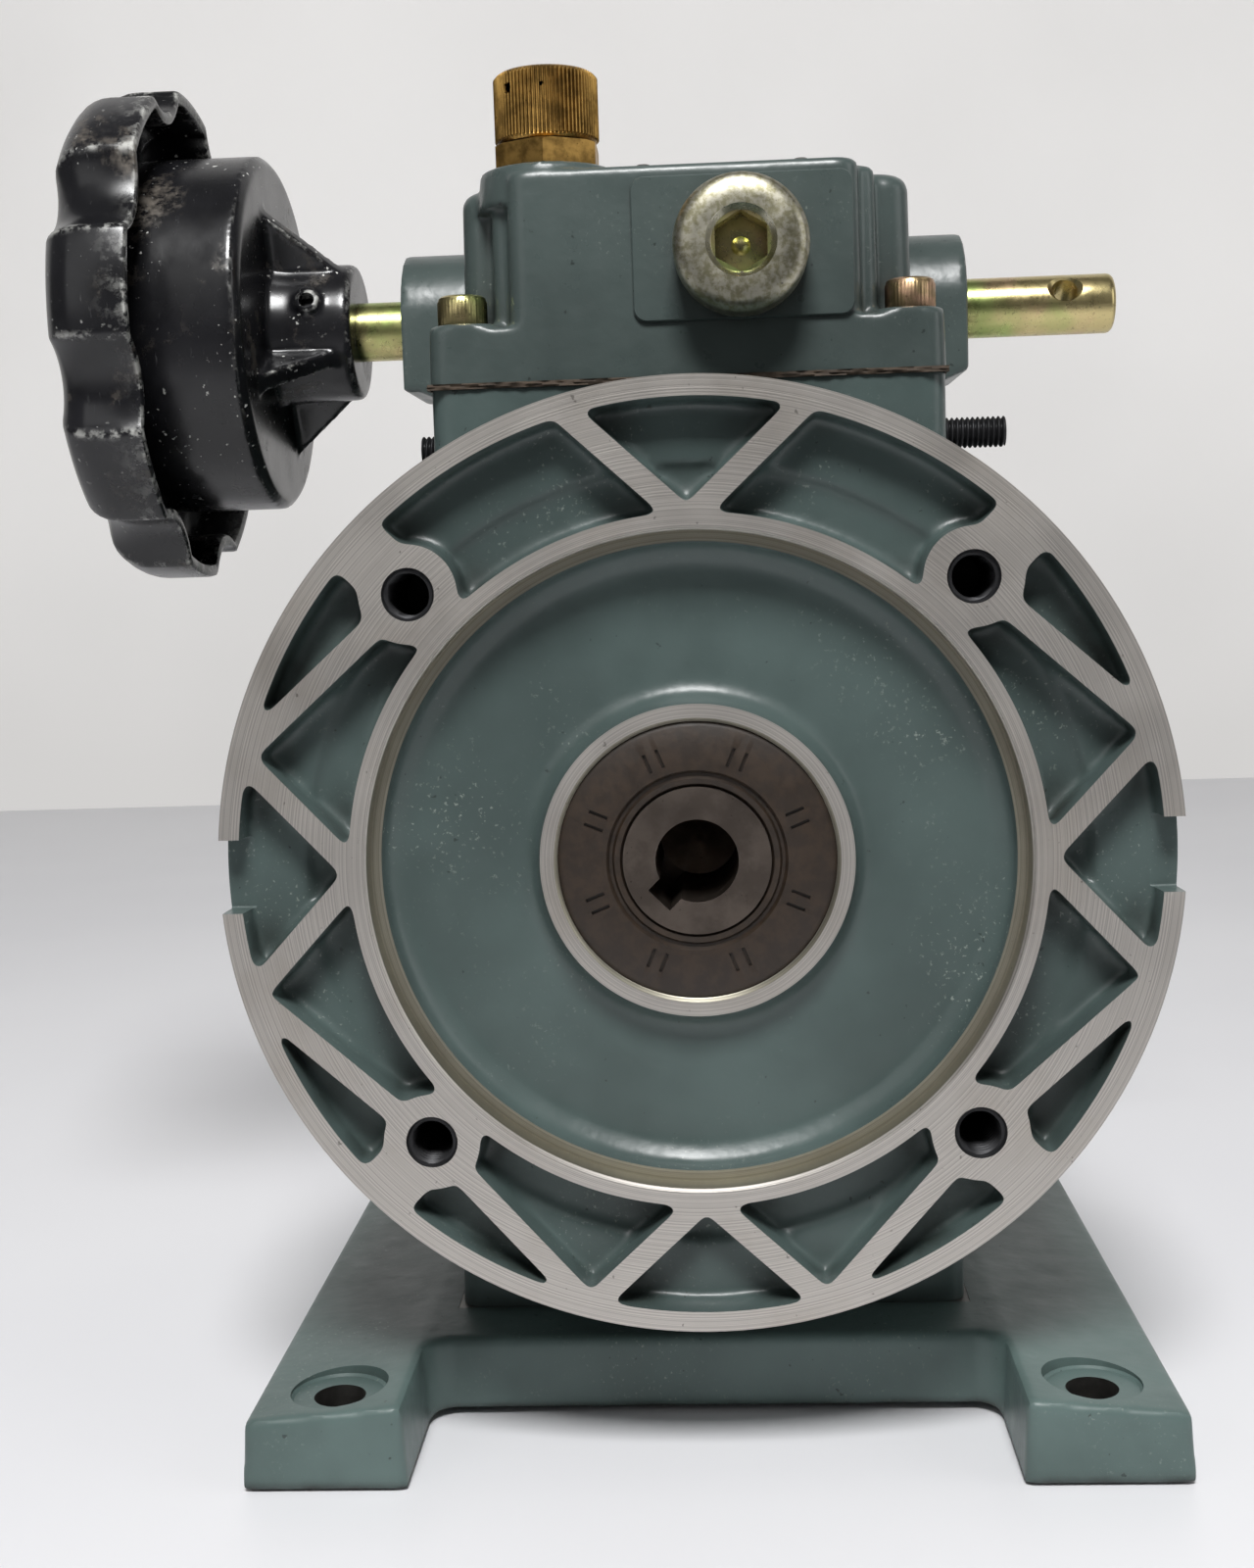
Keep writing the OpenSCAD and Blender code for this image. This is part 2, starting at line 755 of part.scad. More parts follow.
module planet_disc(i) {
    r = planet_r;
    color(iron) at_planet(i) turned([
        [0, plane_depth + 0.03], [r - 0.6, plane_depth + 0.03], [r, plane_depth + 0.6],
        [r, cone_peak - cone_slope * r], [5.6, cone_peak - cone_slope * 5.6], [5.6, 86],
        [4, 86], [4, 107.5], [0, 107.5]
    ]);
}

module planet_slider(i) {
    a = 90 + 360 / planets * (i - 1);
    color(bronze) difference() {
        translate([0, 0, axis_h]) rotate([0, -a, 0]) translate([planet_circle_r, 0, 0]) {
            translate([-6, y_of(carrier_depth - 1.6), -7]) cube([12, carrier_t + 1.6, 14]);
            translate([-6, y_of(carrier_depth - 1.6), -9]) cube([12, 1.5, 18]);
        }
        at_planet(i) sleeve(0, 4.04, 90, 110);
    }
}

module output_shaft() {
    color(steel) difference() {
        turned([
            [0, 113], [8.06, 110.8], [8.06, carrier_depth], [47.5, carrier_depth],
            [47.5, carrier_depth + carrier_t], [13, carrier_depth + carrier_t], [13, 116.4],
            [10, 116.4], [10, out_start], [out_d / 2, out_start], [out_d / 2, out_end - 1],
            [out_d / 2 - 1, out_end], [0, out_end]
        ]);
        for (i = [1 : planets]) translate([0, 0, axis_h]) rotate([0, -90 - 360 / planets * (i - 1), 0])
            translate([24.5, y_of(carrier_depth - 1), -7.06]) cube([30, carrier_t + 2, 14.12]);
        translate([0, y_of(out_start + 3), axis_h]) rotate([0, out_key_turn, 0])
            translate([-key_w / 2, 0, out_d / 2 - 3]) cube([key_w, out_len - 6, 6]);
    }
}

module output_bearing_outer() {
    color(steel) for (d = out_bearing_depths) bearing_outer(d, 21.0, out_ball[0], out_ball[1]);
}

module output_bearing_inner() {
    color(steel) for (d = out_bearing_depths) bearing_inner(d, 10.01, out_ball[0], out_ball[1]);
}

module output_bearing_balls() {
    color(steel) for (d = out_bearing_depths) bearing_ball_row(d, 9, out_ball[0], out_ball[1]);
}

module output_seal() {
    color(rubber) turned([
        [10.05, 157.4], [11, 157], [17.5, 157], [17.5, out_hub_end - 0.2],
        [10.8, out_hub_end - 0.2], [10.05, out_hub_end - 1]
    ]);
}

// ---------- speed control ----------

spindle_end = 87.3;
spindle_groove = [54.6, 55.8];
rim_wall = 2.7;
rim_round = 6;
wheel_x = [-121, -103.6, -86, -69];

module control_spindle() {
    color(zinc) difference() {
        spindle_turned([
            [0, -85.9], [spindle_r, -85.9], [spindle_r, spindle_groove[0]],
            [spindle_r - 0.6, spindle_groove[0]], [spindle_r - 0.6, spindle_groove[1]],
            [spindle_r, spindle_groove[1]], [spindle_r, spindle_end - 1],
            [spindle_r - 1, spindle_end], [0, spindle_end]
        ]);
        translate([77, y_of(spindle_depth), spindle_z]) rotate([62, 0, 0])
            cylinder(r = 2.6, h = 20, center = true);
    }
}

module spindle_collars() {
    color(steel) for (x = [-34.4, 31.4])
        spindle_turned([[spindle_r + 0.02, x], [10, x], [10, x + 3], [spindle_r + 0.02, x + 3]]);
}

module spindle_bushes() {
    color(bronze) for (x = [-50.5, 36])
        spindle_turned([
            [spindle_r + gap, x], [7.98, x], [7.98, x + 14.5], [spindle_r + gap, x + 14.5]
        ]);
}

module spindle_o_rings() {
    color(black) for (x = [-53.5, 53.5]) translate([x, y_of(spindle_depth), spindle_z])
        rotate([0, 90, 0]) rotate_extrude() translate([spindle_r + 1, 0]) circle(0.93);
}

module speed_nut() {
    color(bronze) difference() {
        block([-9, 9], [spindle_depth - 10, spindle_depth + 10], [85, 111]);
        spindle_turned([[0, -20], [spindle_r + gap, -20], [spindle_r + gap, 20], [0, 20]]);
        block([-4.1, 4.1], [spindle_depth - 5, spindle_depth + 5], [80, 94.4]);
    }
}

// Lobed outline, drawn inwards from the outer one by inset
module wheel_outline(inset) {
    difference() {
        circle(wheel_d / 2 - inset);
        for (i = [0 : scallops - 1]) rotate(-118.5 + 360 / scallops * i)
            translate([wheel_d / 2 - scallop_depth + scallop_r, 0]) circle(scallop_r + inset);
    }
}

// Outer surface of the rim, rounded towards its closed side
module rim_envelope() {
    spindle_turned(concat(
        [[0, wheel_x[1]], [wheel_d / 2, wheel_x[1]]],
        [for (a = [0 : 18 : 90]) [
            wheel_d / 2 - rim_round * (1 - cos(a)), wheel_x[0] + rim_round * (1 - sin(a))
        ]],
        [[0, wheel_x[0]]]
    ));
}

module handwheel() {
    bore = spindle_r + 0.03;
    color(black) difference() {
        union() {
            spindle_turned([
                [0, -92], [32.4, -92],
                [32.4, wheel_x[0]], [drum_d / 2, wheel_x[0]], [drum_d / 2, -88],
                [drum_d / 2 - 2, wheel_x[2]], [boss_d / 2, wheel_x[2]],
                [boss_d / 2, wheel_x[3] - 1], [boss_d / 2 - 1, wheel_x[3]], [0, wheel_x[3]]
            ]);
            intersection() {
                union() {
                    spindle_plate(wheel_x[0], wheel_x[1]) difference() {
                        wheel_outline(0);
                        wheel_outline(rim_wall);
                    }
                    spindle_plate(wheel_x[0], wheel_x[0] + 3) difference() {
                        wheel_outline(0);
                        circle(33);
                    }
                }
                rim_envelope();
            }
            for (a = [28, 118, 208, 298]) translate([0, y_of(spindle_depth), spindle_z])
                rotate([a, 0, 0]) translate([0, 2, 0]) rotate([90, 0, 0]) linear_extrude(4)
                    polygon([[-86.5, 10], [-86.5, 28], [-72, 13.5], [-72, 10]]);
            translate([-77.3, y_of(spindle_depth), spindle_z]) rotate([70, 0, 0])
                cylinder(r = 2.4, h = boss_d / 2 + 1);
        }
        spindle_turned([[0, -86], [bore, -86], [bore, -60], [0, -60]]);
        translate([-77.3, y_of(spindle_depth), spindle_z]) rotate([70, 0, 0])
            cylinder(r = 1.6, h = boss_d);
    }
}

module handwheel_set_screw() {
    color(black) translate([-77.3, y_of(spindle_depth), spindle_z]) rotate([70, 0, 0])
        translate([0, 0, spindle_r + 0.05]) cylinder(r = 1.55, h = 6.5);
}

module indicator_case() {
    color(black) spindle_turned([
        [0, -92.1], [32.3, -92.1], [32.3, -120.5], [29.5, -120.5], [29.5, -94.5], [3.5, -94.5],
        [3.5, -96], [2, -96], [2, -114], [0, -114]
    ]);
}

module indicator_dial() {
    color([0.85, 0.85, 0.82]) {
        spindle_turned([[2.1, -111], [29, -111], [29, -110], [2.1, -110]]);
        difference() {
            spindle_turned([[2.1, -110 - eps], [27, -110 - eps], [27, -99], [2.1, -99]]);
            translate([-130, -200, spindle_z - 3]) cube([60, 400, 60]);
        }
    }
}

module indicator_pointer() {
    color([0.75, 0.1, 0.08]) {
        spindle_turned([[2.1, -112.4], [3.4, -112.4], [3.4, -111.4], [2.1, -111.4]]);
        translate([-112.4, y_of(spindle_depth) - 0.9, spindle_z + 3]) cube([1, 1.8, 22]);
    }
}

module indicator_window() {
    color([0.9, 0.95, 1, 0.35]) spindle_turned([
        [0, -119.6], [29.45, -119.6], [29.45, -117.8], [0, -117.8]
    ]);
}

module planet_disc_1() planet_disc(1);
module planet_disc_2() planet_disc(2);
module planet_disc_3() planet_disc(3);
module planet_disc_4() planet_disc(4);
module planet_disc_5() planet_disc(5);
module planet_slider_1() planet_slider(1);
module planet_slider_2() planet_slider(2);
module planet_slider_3() planet_slider(3);
module planet_slider_4() planet_slider(4);
module planet_slider_5() planet_slider(5);

// ---------- drawing ----------

base_foot();
foot_screws();
main_housing();
input_flange();
flange_screws();
output_cover();
output_cover_screws();
control_cover();
cover_gasket();
cover_screws();
oil_plugs();
plug_washers();
breather_body();
breather_cap();
nameplate();
nameplate_pins();
stop_stud_left();
stop_stud_right();
sight_glass_ring();
sight_glass_window();
input_shaft();
input_seal();
input_bearing_outer();
input_bearing_inner();
input_bearing_balls();
sun_disc_front();
sun_disc_rear();
disc_springs();
spring_nut();
fixed_ring();
movable_ring();
cam_balls();
cam_ring();
speed_peg();
planet_disc_1();
planet_disc_2();
planet_disc_3();
planet_disc_4();
planet_disc_5();
planet_slider_1();
planet_slider_2();
planet_slider_3();
planet_slider_4();
planet_slider_5();
output_shaft();
output_bearing_outer();
output_bearing_inner();
output_bearing_balls();
output_seal();
control_spindle();
spindle_collars();
spindle_bushes();
spindle_o_rings();
speed_nut();
handwheel();
handwheel_set_screw();
indicator_case();
indicator_dial();
indicator_pointer();
indicator_window();
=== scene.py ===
import json
import math

import bmesh
import bpy
import numpy as np
from mathutils import Matrix, Vector


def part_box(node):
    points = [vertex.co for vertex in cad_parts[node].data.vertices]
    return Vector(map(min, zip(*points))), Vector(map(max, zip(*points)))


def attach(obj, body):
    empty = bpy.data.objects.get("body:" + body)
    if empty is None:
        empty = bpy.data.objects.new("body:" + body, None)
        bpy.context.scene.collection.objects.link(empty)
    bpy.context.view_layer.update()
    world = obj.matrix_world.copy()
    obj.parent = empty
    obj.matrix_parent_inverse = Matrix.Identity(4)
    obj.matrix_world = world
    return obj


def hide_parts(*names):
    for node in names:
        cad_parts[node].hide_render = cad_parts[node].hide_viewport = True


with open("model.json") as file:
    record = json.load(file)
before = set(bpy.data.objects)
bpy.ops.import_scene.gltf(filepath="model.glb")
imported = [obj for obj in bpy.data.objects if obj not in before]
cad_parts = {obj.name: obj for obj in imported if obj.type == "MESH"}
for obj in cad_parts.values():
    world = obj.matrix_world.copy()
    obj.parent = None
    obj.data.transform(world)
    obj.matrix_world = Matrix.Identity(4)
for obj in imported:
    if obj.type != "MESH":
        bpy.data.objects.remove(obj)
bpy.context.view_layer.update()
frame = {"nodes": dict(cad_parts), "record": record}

# ------------ places from the frame
# Shapes are built in millimetres and scaled to metres when a piece is published.
MM = 0.001
flange_lo, flange_hi = [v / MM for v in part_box("input_flange")]
spindle_lo, spindle_hi = [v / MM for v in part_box("control_spindle")]
FACE_Y = flange_lo.y
AXIS_Z = (flange_lo.z + flange_hi.z) / 2
SPINDLE_Y = (spindle_lo.y + spindle_hi.y) / 2
SPINDLE_Z = (spindle_lo.z + spindle_hi.z) / 2
FLANGE_R = (flange_hi.z - flange_lo.z) / 2
MAIN = (0, FACE_Y, AXIS_Z)
SPINDLE = (0, SPINDLE_Y, SPINDLE_Z)

# axis name -> direction along the axis, first and second direction across it
AXES = {
    "X": (Vector((1, 0, 0)), Vector((0, -1, 0)), Vector((0, 0, 1))),
    "Y": (Vector((0, 1, 0)), Vector((1, 0, 0)), Vector((0, 0, 1))),
    "Z": (Vector((0, 0, 1)), Vector((1, 0, 0)), Vector((0, 1, 0))),
    "-Y": (Vector((0, -1, 0)), Vector((1, 0, 0)), Vector((0, 0, 1))),
}
scene = bpy.context.scene


def across(axis):
    """Direction along an axis and two directions across it."""
    if isinstance(axis, str):
        return AXES[axis]
    along = Vector(axis).normalized()
    u = along.orthogonal().normalized()
    return along, u, along.cross(u)


# ------------ mesh helpers
def new_object(name, verts, faces):
    mesh = bpy.data.meshes.new(name)
    mesh.from_pydata([tuple(v) for v in verts], [], faces)
    bm = bmesh.new()
    bm.from_mesh(mesh)
    bmesh.ops.remove_doubles(bm, verts=bm.verts, dist=1e-5)
    bmesh.ops.recalc_face_normals(bm, faces=bm.faces)
    bm.to_mesh(mesh)
    bm.free()
    obj = bpy.data.objects.new(name, mesh)
    scene.collection.objects.link(obj)
    return obj


def revolve(profile, axis="Y", origin=MAIN, steps=96, name="turned"):
    """Turns a closed outline of (radius, distance along the axis) about an axis."""
    along, u, v = across(axis)
    o = Vector(origin)
    verts, rows = [], []
    for r, a in profile:
        if r < 1e-6:
            rows.append([len(verts)] * steps)
            verts.append(o + along * a)
            continue
        rows.append(list(range(len(verts), len(verts) + steps)))
        for i in range(steps):
            t = 2 * math.pi * i / steps
            verts.append(o + along * a + u * (r * math.cos(t)) + v * (r * math.sin(t)))
    faces = []
    for k in range(len(rows)):
        p, q = rows[k], rows[(k + 1) % len(rows)]
        for i in range(steps):
            j = (i + 1) % steps
            face = [p[i], p[j], q[j], q[i]]
            face = [f for n, f in enumerate(face) if f not in face[:n]]
            if len(face) > 2:
                faces.append(face)
    return new_object(name, verts, faces)


def loft(sections, axis="Y", origin=MAIN, name="loft"):
    """Skins outlines that have the same number of points; each is (distance along, points)."""
    along, u, v = across(axis)
    o = Vector(origin)
    verts, faces = [], []
    n = len(sections[0][1])
    for a, points in sections:
        verts += [o + along * a + u * p[0] + v * p[1] for p in points]
    for k in range(len(sections) - 1):
        for i in range(n):
            j = (i + 1) % n
            faces.append([k * n + i, k * n + j, (k + 1) * n + j, (k + 1) * n + i])
    faces.append(list(range(n)))
    faces.append(list(range((len(sections) - 1) * n, len(sections) * n)))
    return new_object(name, verts, faces)


def block(x, d, h, origin=MAIN, round_by=0.0, name="block"):
    """Box from X, depth and height ranges about an origin, with rounded edges if asked."""
    o = Vector(origin)
    corner = [(x[i], d[j], h[k]) for i in (0, 1) for j in (0, 1) for k in (0, 1)]
    verts = [o + Vector(c) for c in corner]
    faces = [(0, 1, 3, 2), (4, 6, 7, 5), (0, 4, 5, 1), (2, 3, 7, 6), (0, 2, 6, 4), (1, 5, 7, 3)]
    obj = new_object(name, verts, faces)
    if round_by:
        soften(obj, round_by)
    return obj


def soften(obj, width, segments=4, angle=30):
    """Rounds every edge that bends by more than the angle."""
    bevel = obj.modifiers.new("bevel", "BEVEL")
    bevel.width = width
    bevel.segments = segments
    bevel.limit_method = "ANGLE"
    bevel.angle_limit = math.radians(angle)
    bake(obj)
    return obj


def rod(x, h, r, d0, d1, axis="Y", origin=MAIN, steps=48, name="rod"):
    """Cylinder along an axis; x and h place it across that axis."""
    along, u, v = across(axis)
    place = Vector(origin) + u * x + v * h
    return revolve([(0, d0), (r, d0), (r, d1), (0, d1)], axis, place, steps, name)


def circle_points(r, n=64, x=0.0, y=0.0, phase=0.0):
    turns = [2 * math.pi * (i + phase) / n for i in range(n)]
    return [(x + r * math.cos(t), y + r * math.sin(t)) for t in turns]


def round_rect_points(w, h, r, n=6, x=0.0, y=0.0):
    points = []
    for k, (sx, sy) in enumerate([(1, 1), (-1, 1), (-1, -1), (1, -1)]):
        for i in range(n + 1):
            t = math.pi / 2 * (k + i / n)
            px = sx * (w / 2 - r) + r * math.cos(t)
            py = sy * (h / 2 - r) + r * math.sin(t)
            points.append((x + px, y + py))
    return points


def hexagon(across_flats, phase=0.0):
    return circle_points(across_flats / math.sqrt(3), 6, phase=phase)


def join(objects, name="group"):
    verts, faces = [], []
    for obj in objects:
        base = len(verts)
        verts += [v.co.copy() for v in obj.data.vertices]
        faces += [[base + i for i in p.vertices] for p in obj.data.polygons]
        discard(obj)
    mesh = bpy.data.meshes.new(name)
    mesh.from_pydata([tuple(v) for v in verts], [], faces)
    obj = bpy.data.objects.new(name, mesh)
    scene.collection.objects.link(obj)
    return obj


def discard(obj):
    mesh = obj.data
    bpy.data.objects.remove(obj)
    bpy.data.meshes.remove(mesh)


def bake(obj):
    """Replaces the mesh with the result of the object's modifiers."""
    bpy.context.view_layer.update()
    graph = bpy.context.evaluated_depsgraph_get()
    mesh = bpy.data.meshes.new_from_object(obj.evaluated_get(graph))
    obj.modifiers.clear()
    old = obj.data
    obj.data = mesh
    bpy.data.meshes.remove(old)
    return obj


def combine(obj, tools, operation):
    for tool in tools:
        mod = obj.modifiers.new("bool", "BOOLEAN")
        mod.operation = operation
        mod.solver = "MANIFOLD"
        mod.object = tool
    bake(obj)
    for tool in tools:
        discard(tool)
    return obj


def cut(obj, *tools):
    return combine(obj, tools, "DIFFERENCE")


def weld(obj, *tools):
    return combine(obj, tools, "UNION")


def keep_inside(obj, *tools):
    return combine(obj, tools, "INTERSECT")


def fuse(obj, voxel):
    remesh = obj.modifiers.new("remesh", "REMESH")
    remesh.mode = "VOXEL"
    remesh.voxel_size = voxel
    return bake(obj)


def cast(solids, voxel, smooth_steps, triangles, name="cast"):
    """Fuses solids into one casting with softly rounded inner and outer edges."""
    obj = fuse(join(solids, name), voxel)
    smooth = obj.modifiers.new("smooth", "SMOOTH")
    smooth.factor = 0.5
    smooth.iterations = smooth_steps
    bake(obj)
    count = 2 * len(obj.data.polygons)
    if count > triangles:
        fewer = obj.modifiers.new("fewer", "DECIMATE")
        fewer.ratio = triangles / count
        bake(obj)
    return obj


def thread_rod(major, minor, pitch, a0, a1, axis="Y", origin=MAIN, steps=40, name="thread"):
    """Closed rod whose skin is a real helical thread."""
    along, u, v = across(axis)
    o = Vector(origin)
    per_turn = 8
    rings = int(math.ceil((a1 - a0) / pitch * per_turn))
    verts, faces = [o + along * a0, o + along * a1], []
    for k in range(rings + 1):
        a = a0 + (a1 - a0) * k / rings
        for i in range(steps):
            t = i / steps
            wave = abs(((a / pitch - t) % 1.0) * 2 - 1)
            r = minor + (major - minor) * min(1.0, max(0.0, wave * 1.5 - 0.2))
            turn = 2 * math.pi * t
            verts.append(o + along * a + u * (r * math.cos(turn)) + v * (r * math.sin(turn)))
    for k in range(rings):
        for i in range(steps):
            j = (i + 1) % steps
            p, q = 2 + k * steps, 2 + (k + 1) * steps
            faces.append([p + i, p + j, q + j, q + i])
    last = 2 + rings * steps
    for i in range(steps):
        j = (i + 1) % steps
        faces.append([0, 2 + j, 2 + i])
        faces.append([1, last + i, last + j])
    return new_object(name, verts, faces)


def at_angles(radius, angles):
    return [(radius * math.cos(math.radians(a)), radius * math.sin(math.radians(a))) for a in angles]


def publish(obj, name, body, replaces, materials, sharp=35, rule=None, smooth=True):
    """Scales a finished piece to metres, gives it materials and hands it to the frame."""
    obj.name = name
    obj.data.name = name
    mesh = obj.data
    mesh.materials.clear()
    for m in materials:
        mesh.materials.append(m)
    count = len(mesh.polygons)
    if rule:
        centre = np.empty(count * 3)
        normal = np.empty(count * 3)
        mesh.polygons.foreach_get("center", centre)
        mesh.polygons.foreach_get("normal", normal)
        index = rule(centre.reshape(-1, 3), normal.reshape(-1, 3)).astype(np.int32)
    else:
        index = np.zeros(count, np.int32)
    mesh.polygons.foreach_set("material_index", index)
    mesh.polygons.foreach_set("use_smooth", np.full(count, smooth))
    mesh.set_sharp_from_angle(angle=math.radians(sharp))
    mesh.transform(Matrix.Scale(MM, 4))
    mesh.update()
    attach(obj, body)
    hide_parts(*replaces)
    return obj


# ------------ material helpers
class Look:
    """A small builder for one procedural material."""

    def __init__(self, name):
        self.material = bpy.data.materials.new(name)
        self.material.use_nodes = True
        self.tree = self.material.node_tree
        self.shader = self.tree.nodes["Principled BSDF"]
        self.coords = self.tree.nodes.new("ShaderNodeTexCoord").outputs["Object"]

    def put(self, socket, value):
        if isinstance(value, bpy.types.NodeSocket):
            self.tree.links.new(value, socket)
        elif hasattr(socket.default_value, "__len__") and not hasattr(value, "__len__"):
            socket.default_value = [value] * len(socket.default_value)
        elif hasattr(value, "__len__") and len(socket.default_value) == 4 and len(value) == 3:
            socket.default_value = (*value, 1)
        else:
            socket.default_value = value

    def math(self, operation, a, b=0.0, c=None):
        node = self.tree.nodes.new("ShaderNodeMath")
        node.operation = operation
        self.put(node.inputs[0], a)
        self.put(node.inputs[1], b)
        if c is not None:
            self.put(node.inputs[2], c)
        return node.outputs[0]

    def noise(self, scale, detail=3.0, rough=0.55, vector=None, stretch=None, shift=0.0):
        node = self.tree.nodes.new("ShaderNodeTexNoise")
        node.noise_dimensions = "4D" if shift else "3D"
        if shift:
            node.inputs["W"].default_value = shift
        node.inputs["Scale"].default_value = scale
        node.inputs["Detail"].default_value = detail
        node.inputs["Roughness"].default_value = rough
        source = vector if vector is not None else self.coords
        if stretch:
            scaled = self.tree.nodes.new("ShaderNodeVectorMath")
            scaled.operation = "MULTIPLY"
            self.tree.links.new(source, scaled.inputs[0])
            scaled.inputs[1].default_value = stretch
            source = scaled.outputs[0]
        self.tree.links.new(source, node.inputs["Vector"])
        return node.outputs["Fac"]

    def band(self, value, low, high, to_low=0.0, to_high=1.0):
        node = self.tree.nodes.new("ShaderNodeMapRange")
        node.interpolation_type = "SMOOTHSTEP"
        self.put(node.inputs["Value"], value)
        node.inputs["From Min"].default_value = low
        node.inputs["From Max"].default_value = high
        node.inputs["To Min"].default_value = to_low
        node.inputs["To Max"].default_value = to_high
        return node.outputs["Result"]

    def mix(self, factor, a, b, mode="MIX"):
        node = self.tree.nodes.new("ShaderNodeMix")
        node.data_type = "RGBA"
        node.blend_type = mode
        self.put(node.inputs[0], factor)
        self.put(node.inputs[6], a)
        self.put(node.inputs[7], b)
        return node.outputs[2]

    def axes(self):
        node = self.tree.nodes.new("ShaderNodeSeparateXYZ")
        self.tree.links.new(self.coords, node.inputs[0])
        return node.outputs

    def crevice_shade(self, distance):
        # Ambient occlusion: low in creases and hollows. The looks use it to paint shade into their colours.
        node = self.tree.nodes.new("ShaderNodeAmbientOcclusion")
        node.samples = 4
        node.inputs["Distance"].default_value = distance
        return node.outputs["AO"]

    def edges(self, low, high):
        node = self.tree.nodes.new("ShaderNodeNewGeometry")
        return self.band(node.outputs["Pointiness"], low, high)

    def bump(self, height, strength, distance):
        node = self.tree.nodes.new("ShaderNodeBump")
        node.inputs["Strength"].default_value = strength
        node.inputs["Distance"].default_value = distance
        self.put(node.inputs["Height"], height)
        if self.shader.inputs["Normal"].is_linked:
            self.tree.links.new(self.shader.inputs["Normal"].links[0].from_socket, node.inputs["Normal"])
        self.tree.links.new(node.outputs["Normal"], self.shader.inputs["Normal"])

    def set(self, **values):
        for key, value in values.items():
            self.put(self.shader.inputs[key.replace("_", " ")], value)
        return self.material


def linear(r, g, b):
    """Display colour 0-255 to scene colour."""
    shares = (r / 255, g / 255, b / 255)
    return tuple(c / 12.92 if c <= 0.04045 else ((c + 0.055) / 1.055) ** 2.4 for c in shares)


def paint_look(name, tone, shade):
    """Semi-gloss machine enamel over a sand casting, with dust, and corners darkened by painted shade mixed
    with grime.
    """
    k = Look(name)
    dark = tuple(c * 0.80 for c in tone)
    light = tuple(min(1, c * 1.16) for c in tone)
    colour = k.mix(k.band(k.noise(22, 4), 0.35, 0.68), dark, light)
    dust = k.band(k.noise(1300, 2, 0.6), 0.62, 0.72)
    patch = k.band(k.noise(45, 3, shift=3.1), 0.45, 0.70)
    colour = k.mix(k.math("MULTIPLY", k.math("MULTIPLY", dust, patch), 0.6), colour, linear(150, 158, 150))
    # Painted shade: ambient occlusion darkens corners and hollows towards near black, broken into blotches so
    # it also reads as grime.
    grime = k.band(k.crevice_shade(0.007), 0.25, 0.80, 1.0, 0.0)
    blotch = k.band(k.noise(120, 4, shift=7.7), 0.40, 0.62)
    soiled_and_shaded = k.math("MULTIPLY", grime, k.math("MULTIPLY_ADD", blotch, 0.5, 0.45))
    colour = k.mix(soiled_and_shaded, colour, linear(30, 34, 30))
    chips = k.band(k.noise(620, 2, 0.5, shift=5.3), 0.70, 0.74)
    colour = k.mix(k.math("MULTIPLY", chips, 0.6), colour, linear(24, 26, 24))
    rough = k.math("MULTIPLY_ADD", k.noise(180, 3), 0.22, shade)
    rough = k.math("ADD", rough, k.math("MULTIPLY", grime, 0.2))
    k.bump(k.noise(75, 3), 0.35, 0.0009)
    k.bump(k.noise(700, 2), 0.16, 0.00018)
    return k.set(Base_Color=colour, Roughness=rough, Specular_IOR_Level=0.45)


def turned_look(name, tone, centre, axis="Y", rough=0.34, marks=4200.0, grime=0.5):
    """Lathe-turned metal: fine rings about an axis, faint tarnish and specks."""
    k = Look(name)
    x, y, z = k.axes()
    first, second = {"Y": (x, z), "X": (y, z), "Z": (x, y)}[axis]
    a = k.math("SUBTRACT", first, centre[0] * MM)
    b = k.math("SUBTRACT", second, centre[1] * MM)
    radius = k.math("SQRT", k.math("ADD", k.math("MULTIPLY", a, a), k.math("MULTIPLY", b, b)))
    node = k.tree.nodes.new("ShaderNodeTexNoise")
    node.noise_dimensions = "1D"
    node.inputs["Scale"].default_value = marks
    node.inputs["Detail"].default_value = 2.0
    k.tree.links.new(radius, node.inputs["W"])
    rings = node.outputs["Fac"]
    dark = tuple(c * 0.82 for c in tone)
    light = tuple(min(1, c * 1.14) for c in tone)
    colour = k.mix(k.band(rings, 0.36, 0.64), dark, light)
    stain = k.band(k.noise(40, 5, 0.6), 0.48, 0.72)
    brown = tuple(c * s for c, s in zip(tone, (0.62, 0.55, 0.46)))
    colour = k.mix(k.math("MULTIPLY", stain, 0.45 * grime), colour, brown)
    specks = k.band(k.noise(700, 2, 0.5, shift=2.2), 0.70, 0.76)
    colour = k.mix(k.math("MULTIPLY", specks, grime), colour, linear(40, 34, 28))
    k.bump(rings, 0.35, 0.00006)
    roughness = k.math("MULTIPLY_ADD", k.noise(60, 4, shift=1.4), 0.28, rough - 0.10)
    return k.set(Base_Color=colour, Metallic=0.9, Roughness=roughness)


def metal_look(name, tone, rough, mottled, second=None, metallic=1.0, scale=160.0):
    """Bar metal: fine mottling, a second tone in patches, small dark specks."""
    k = Look(name)
    second = second or tuple(c * 0.72 for c in tone)
    colour = k.mix(k.band(k.noise(scale, 5, 0.62), 0.38, 0.64), tone, second)
    specks = k.band(k.noise(1400, 2, 0.5, shift=2.9), 0.66, 0.74)
    colour = k.mix(k.math("MULTIPLY", specks, mottled), colour, tuple(c * 0.25 for c in tone))
    # Painted shade: ambient occlusion darkens creases and hollows.
    grime = k.band(k.crevice_shade(0.003), 0.25, 0.85, 0.75, 0.0)
    colour = k.mix(grime, colour, tuple(c * 0.18 for c in tone))
    k.bump(k.noise(520, 4), 0.22, 0.00010)
    roughness = k.math("MULTIPLY_ADD", k.noise(240, 4, shift=1.9), 0.30, rough - 0.12)
    return k.set(Base_Color=colour, Metallic=metallic, Roughness=roughness)


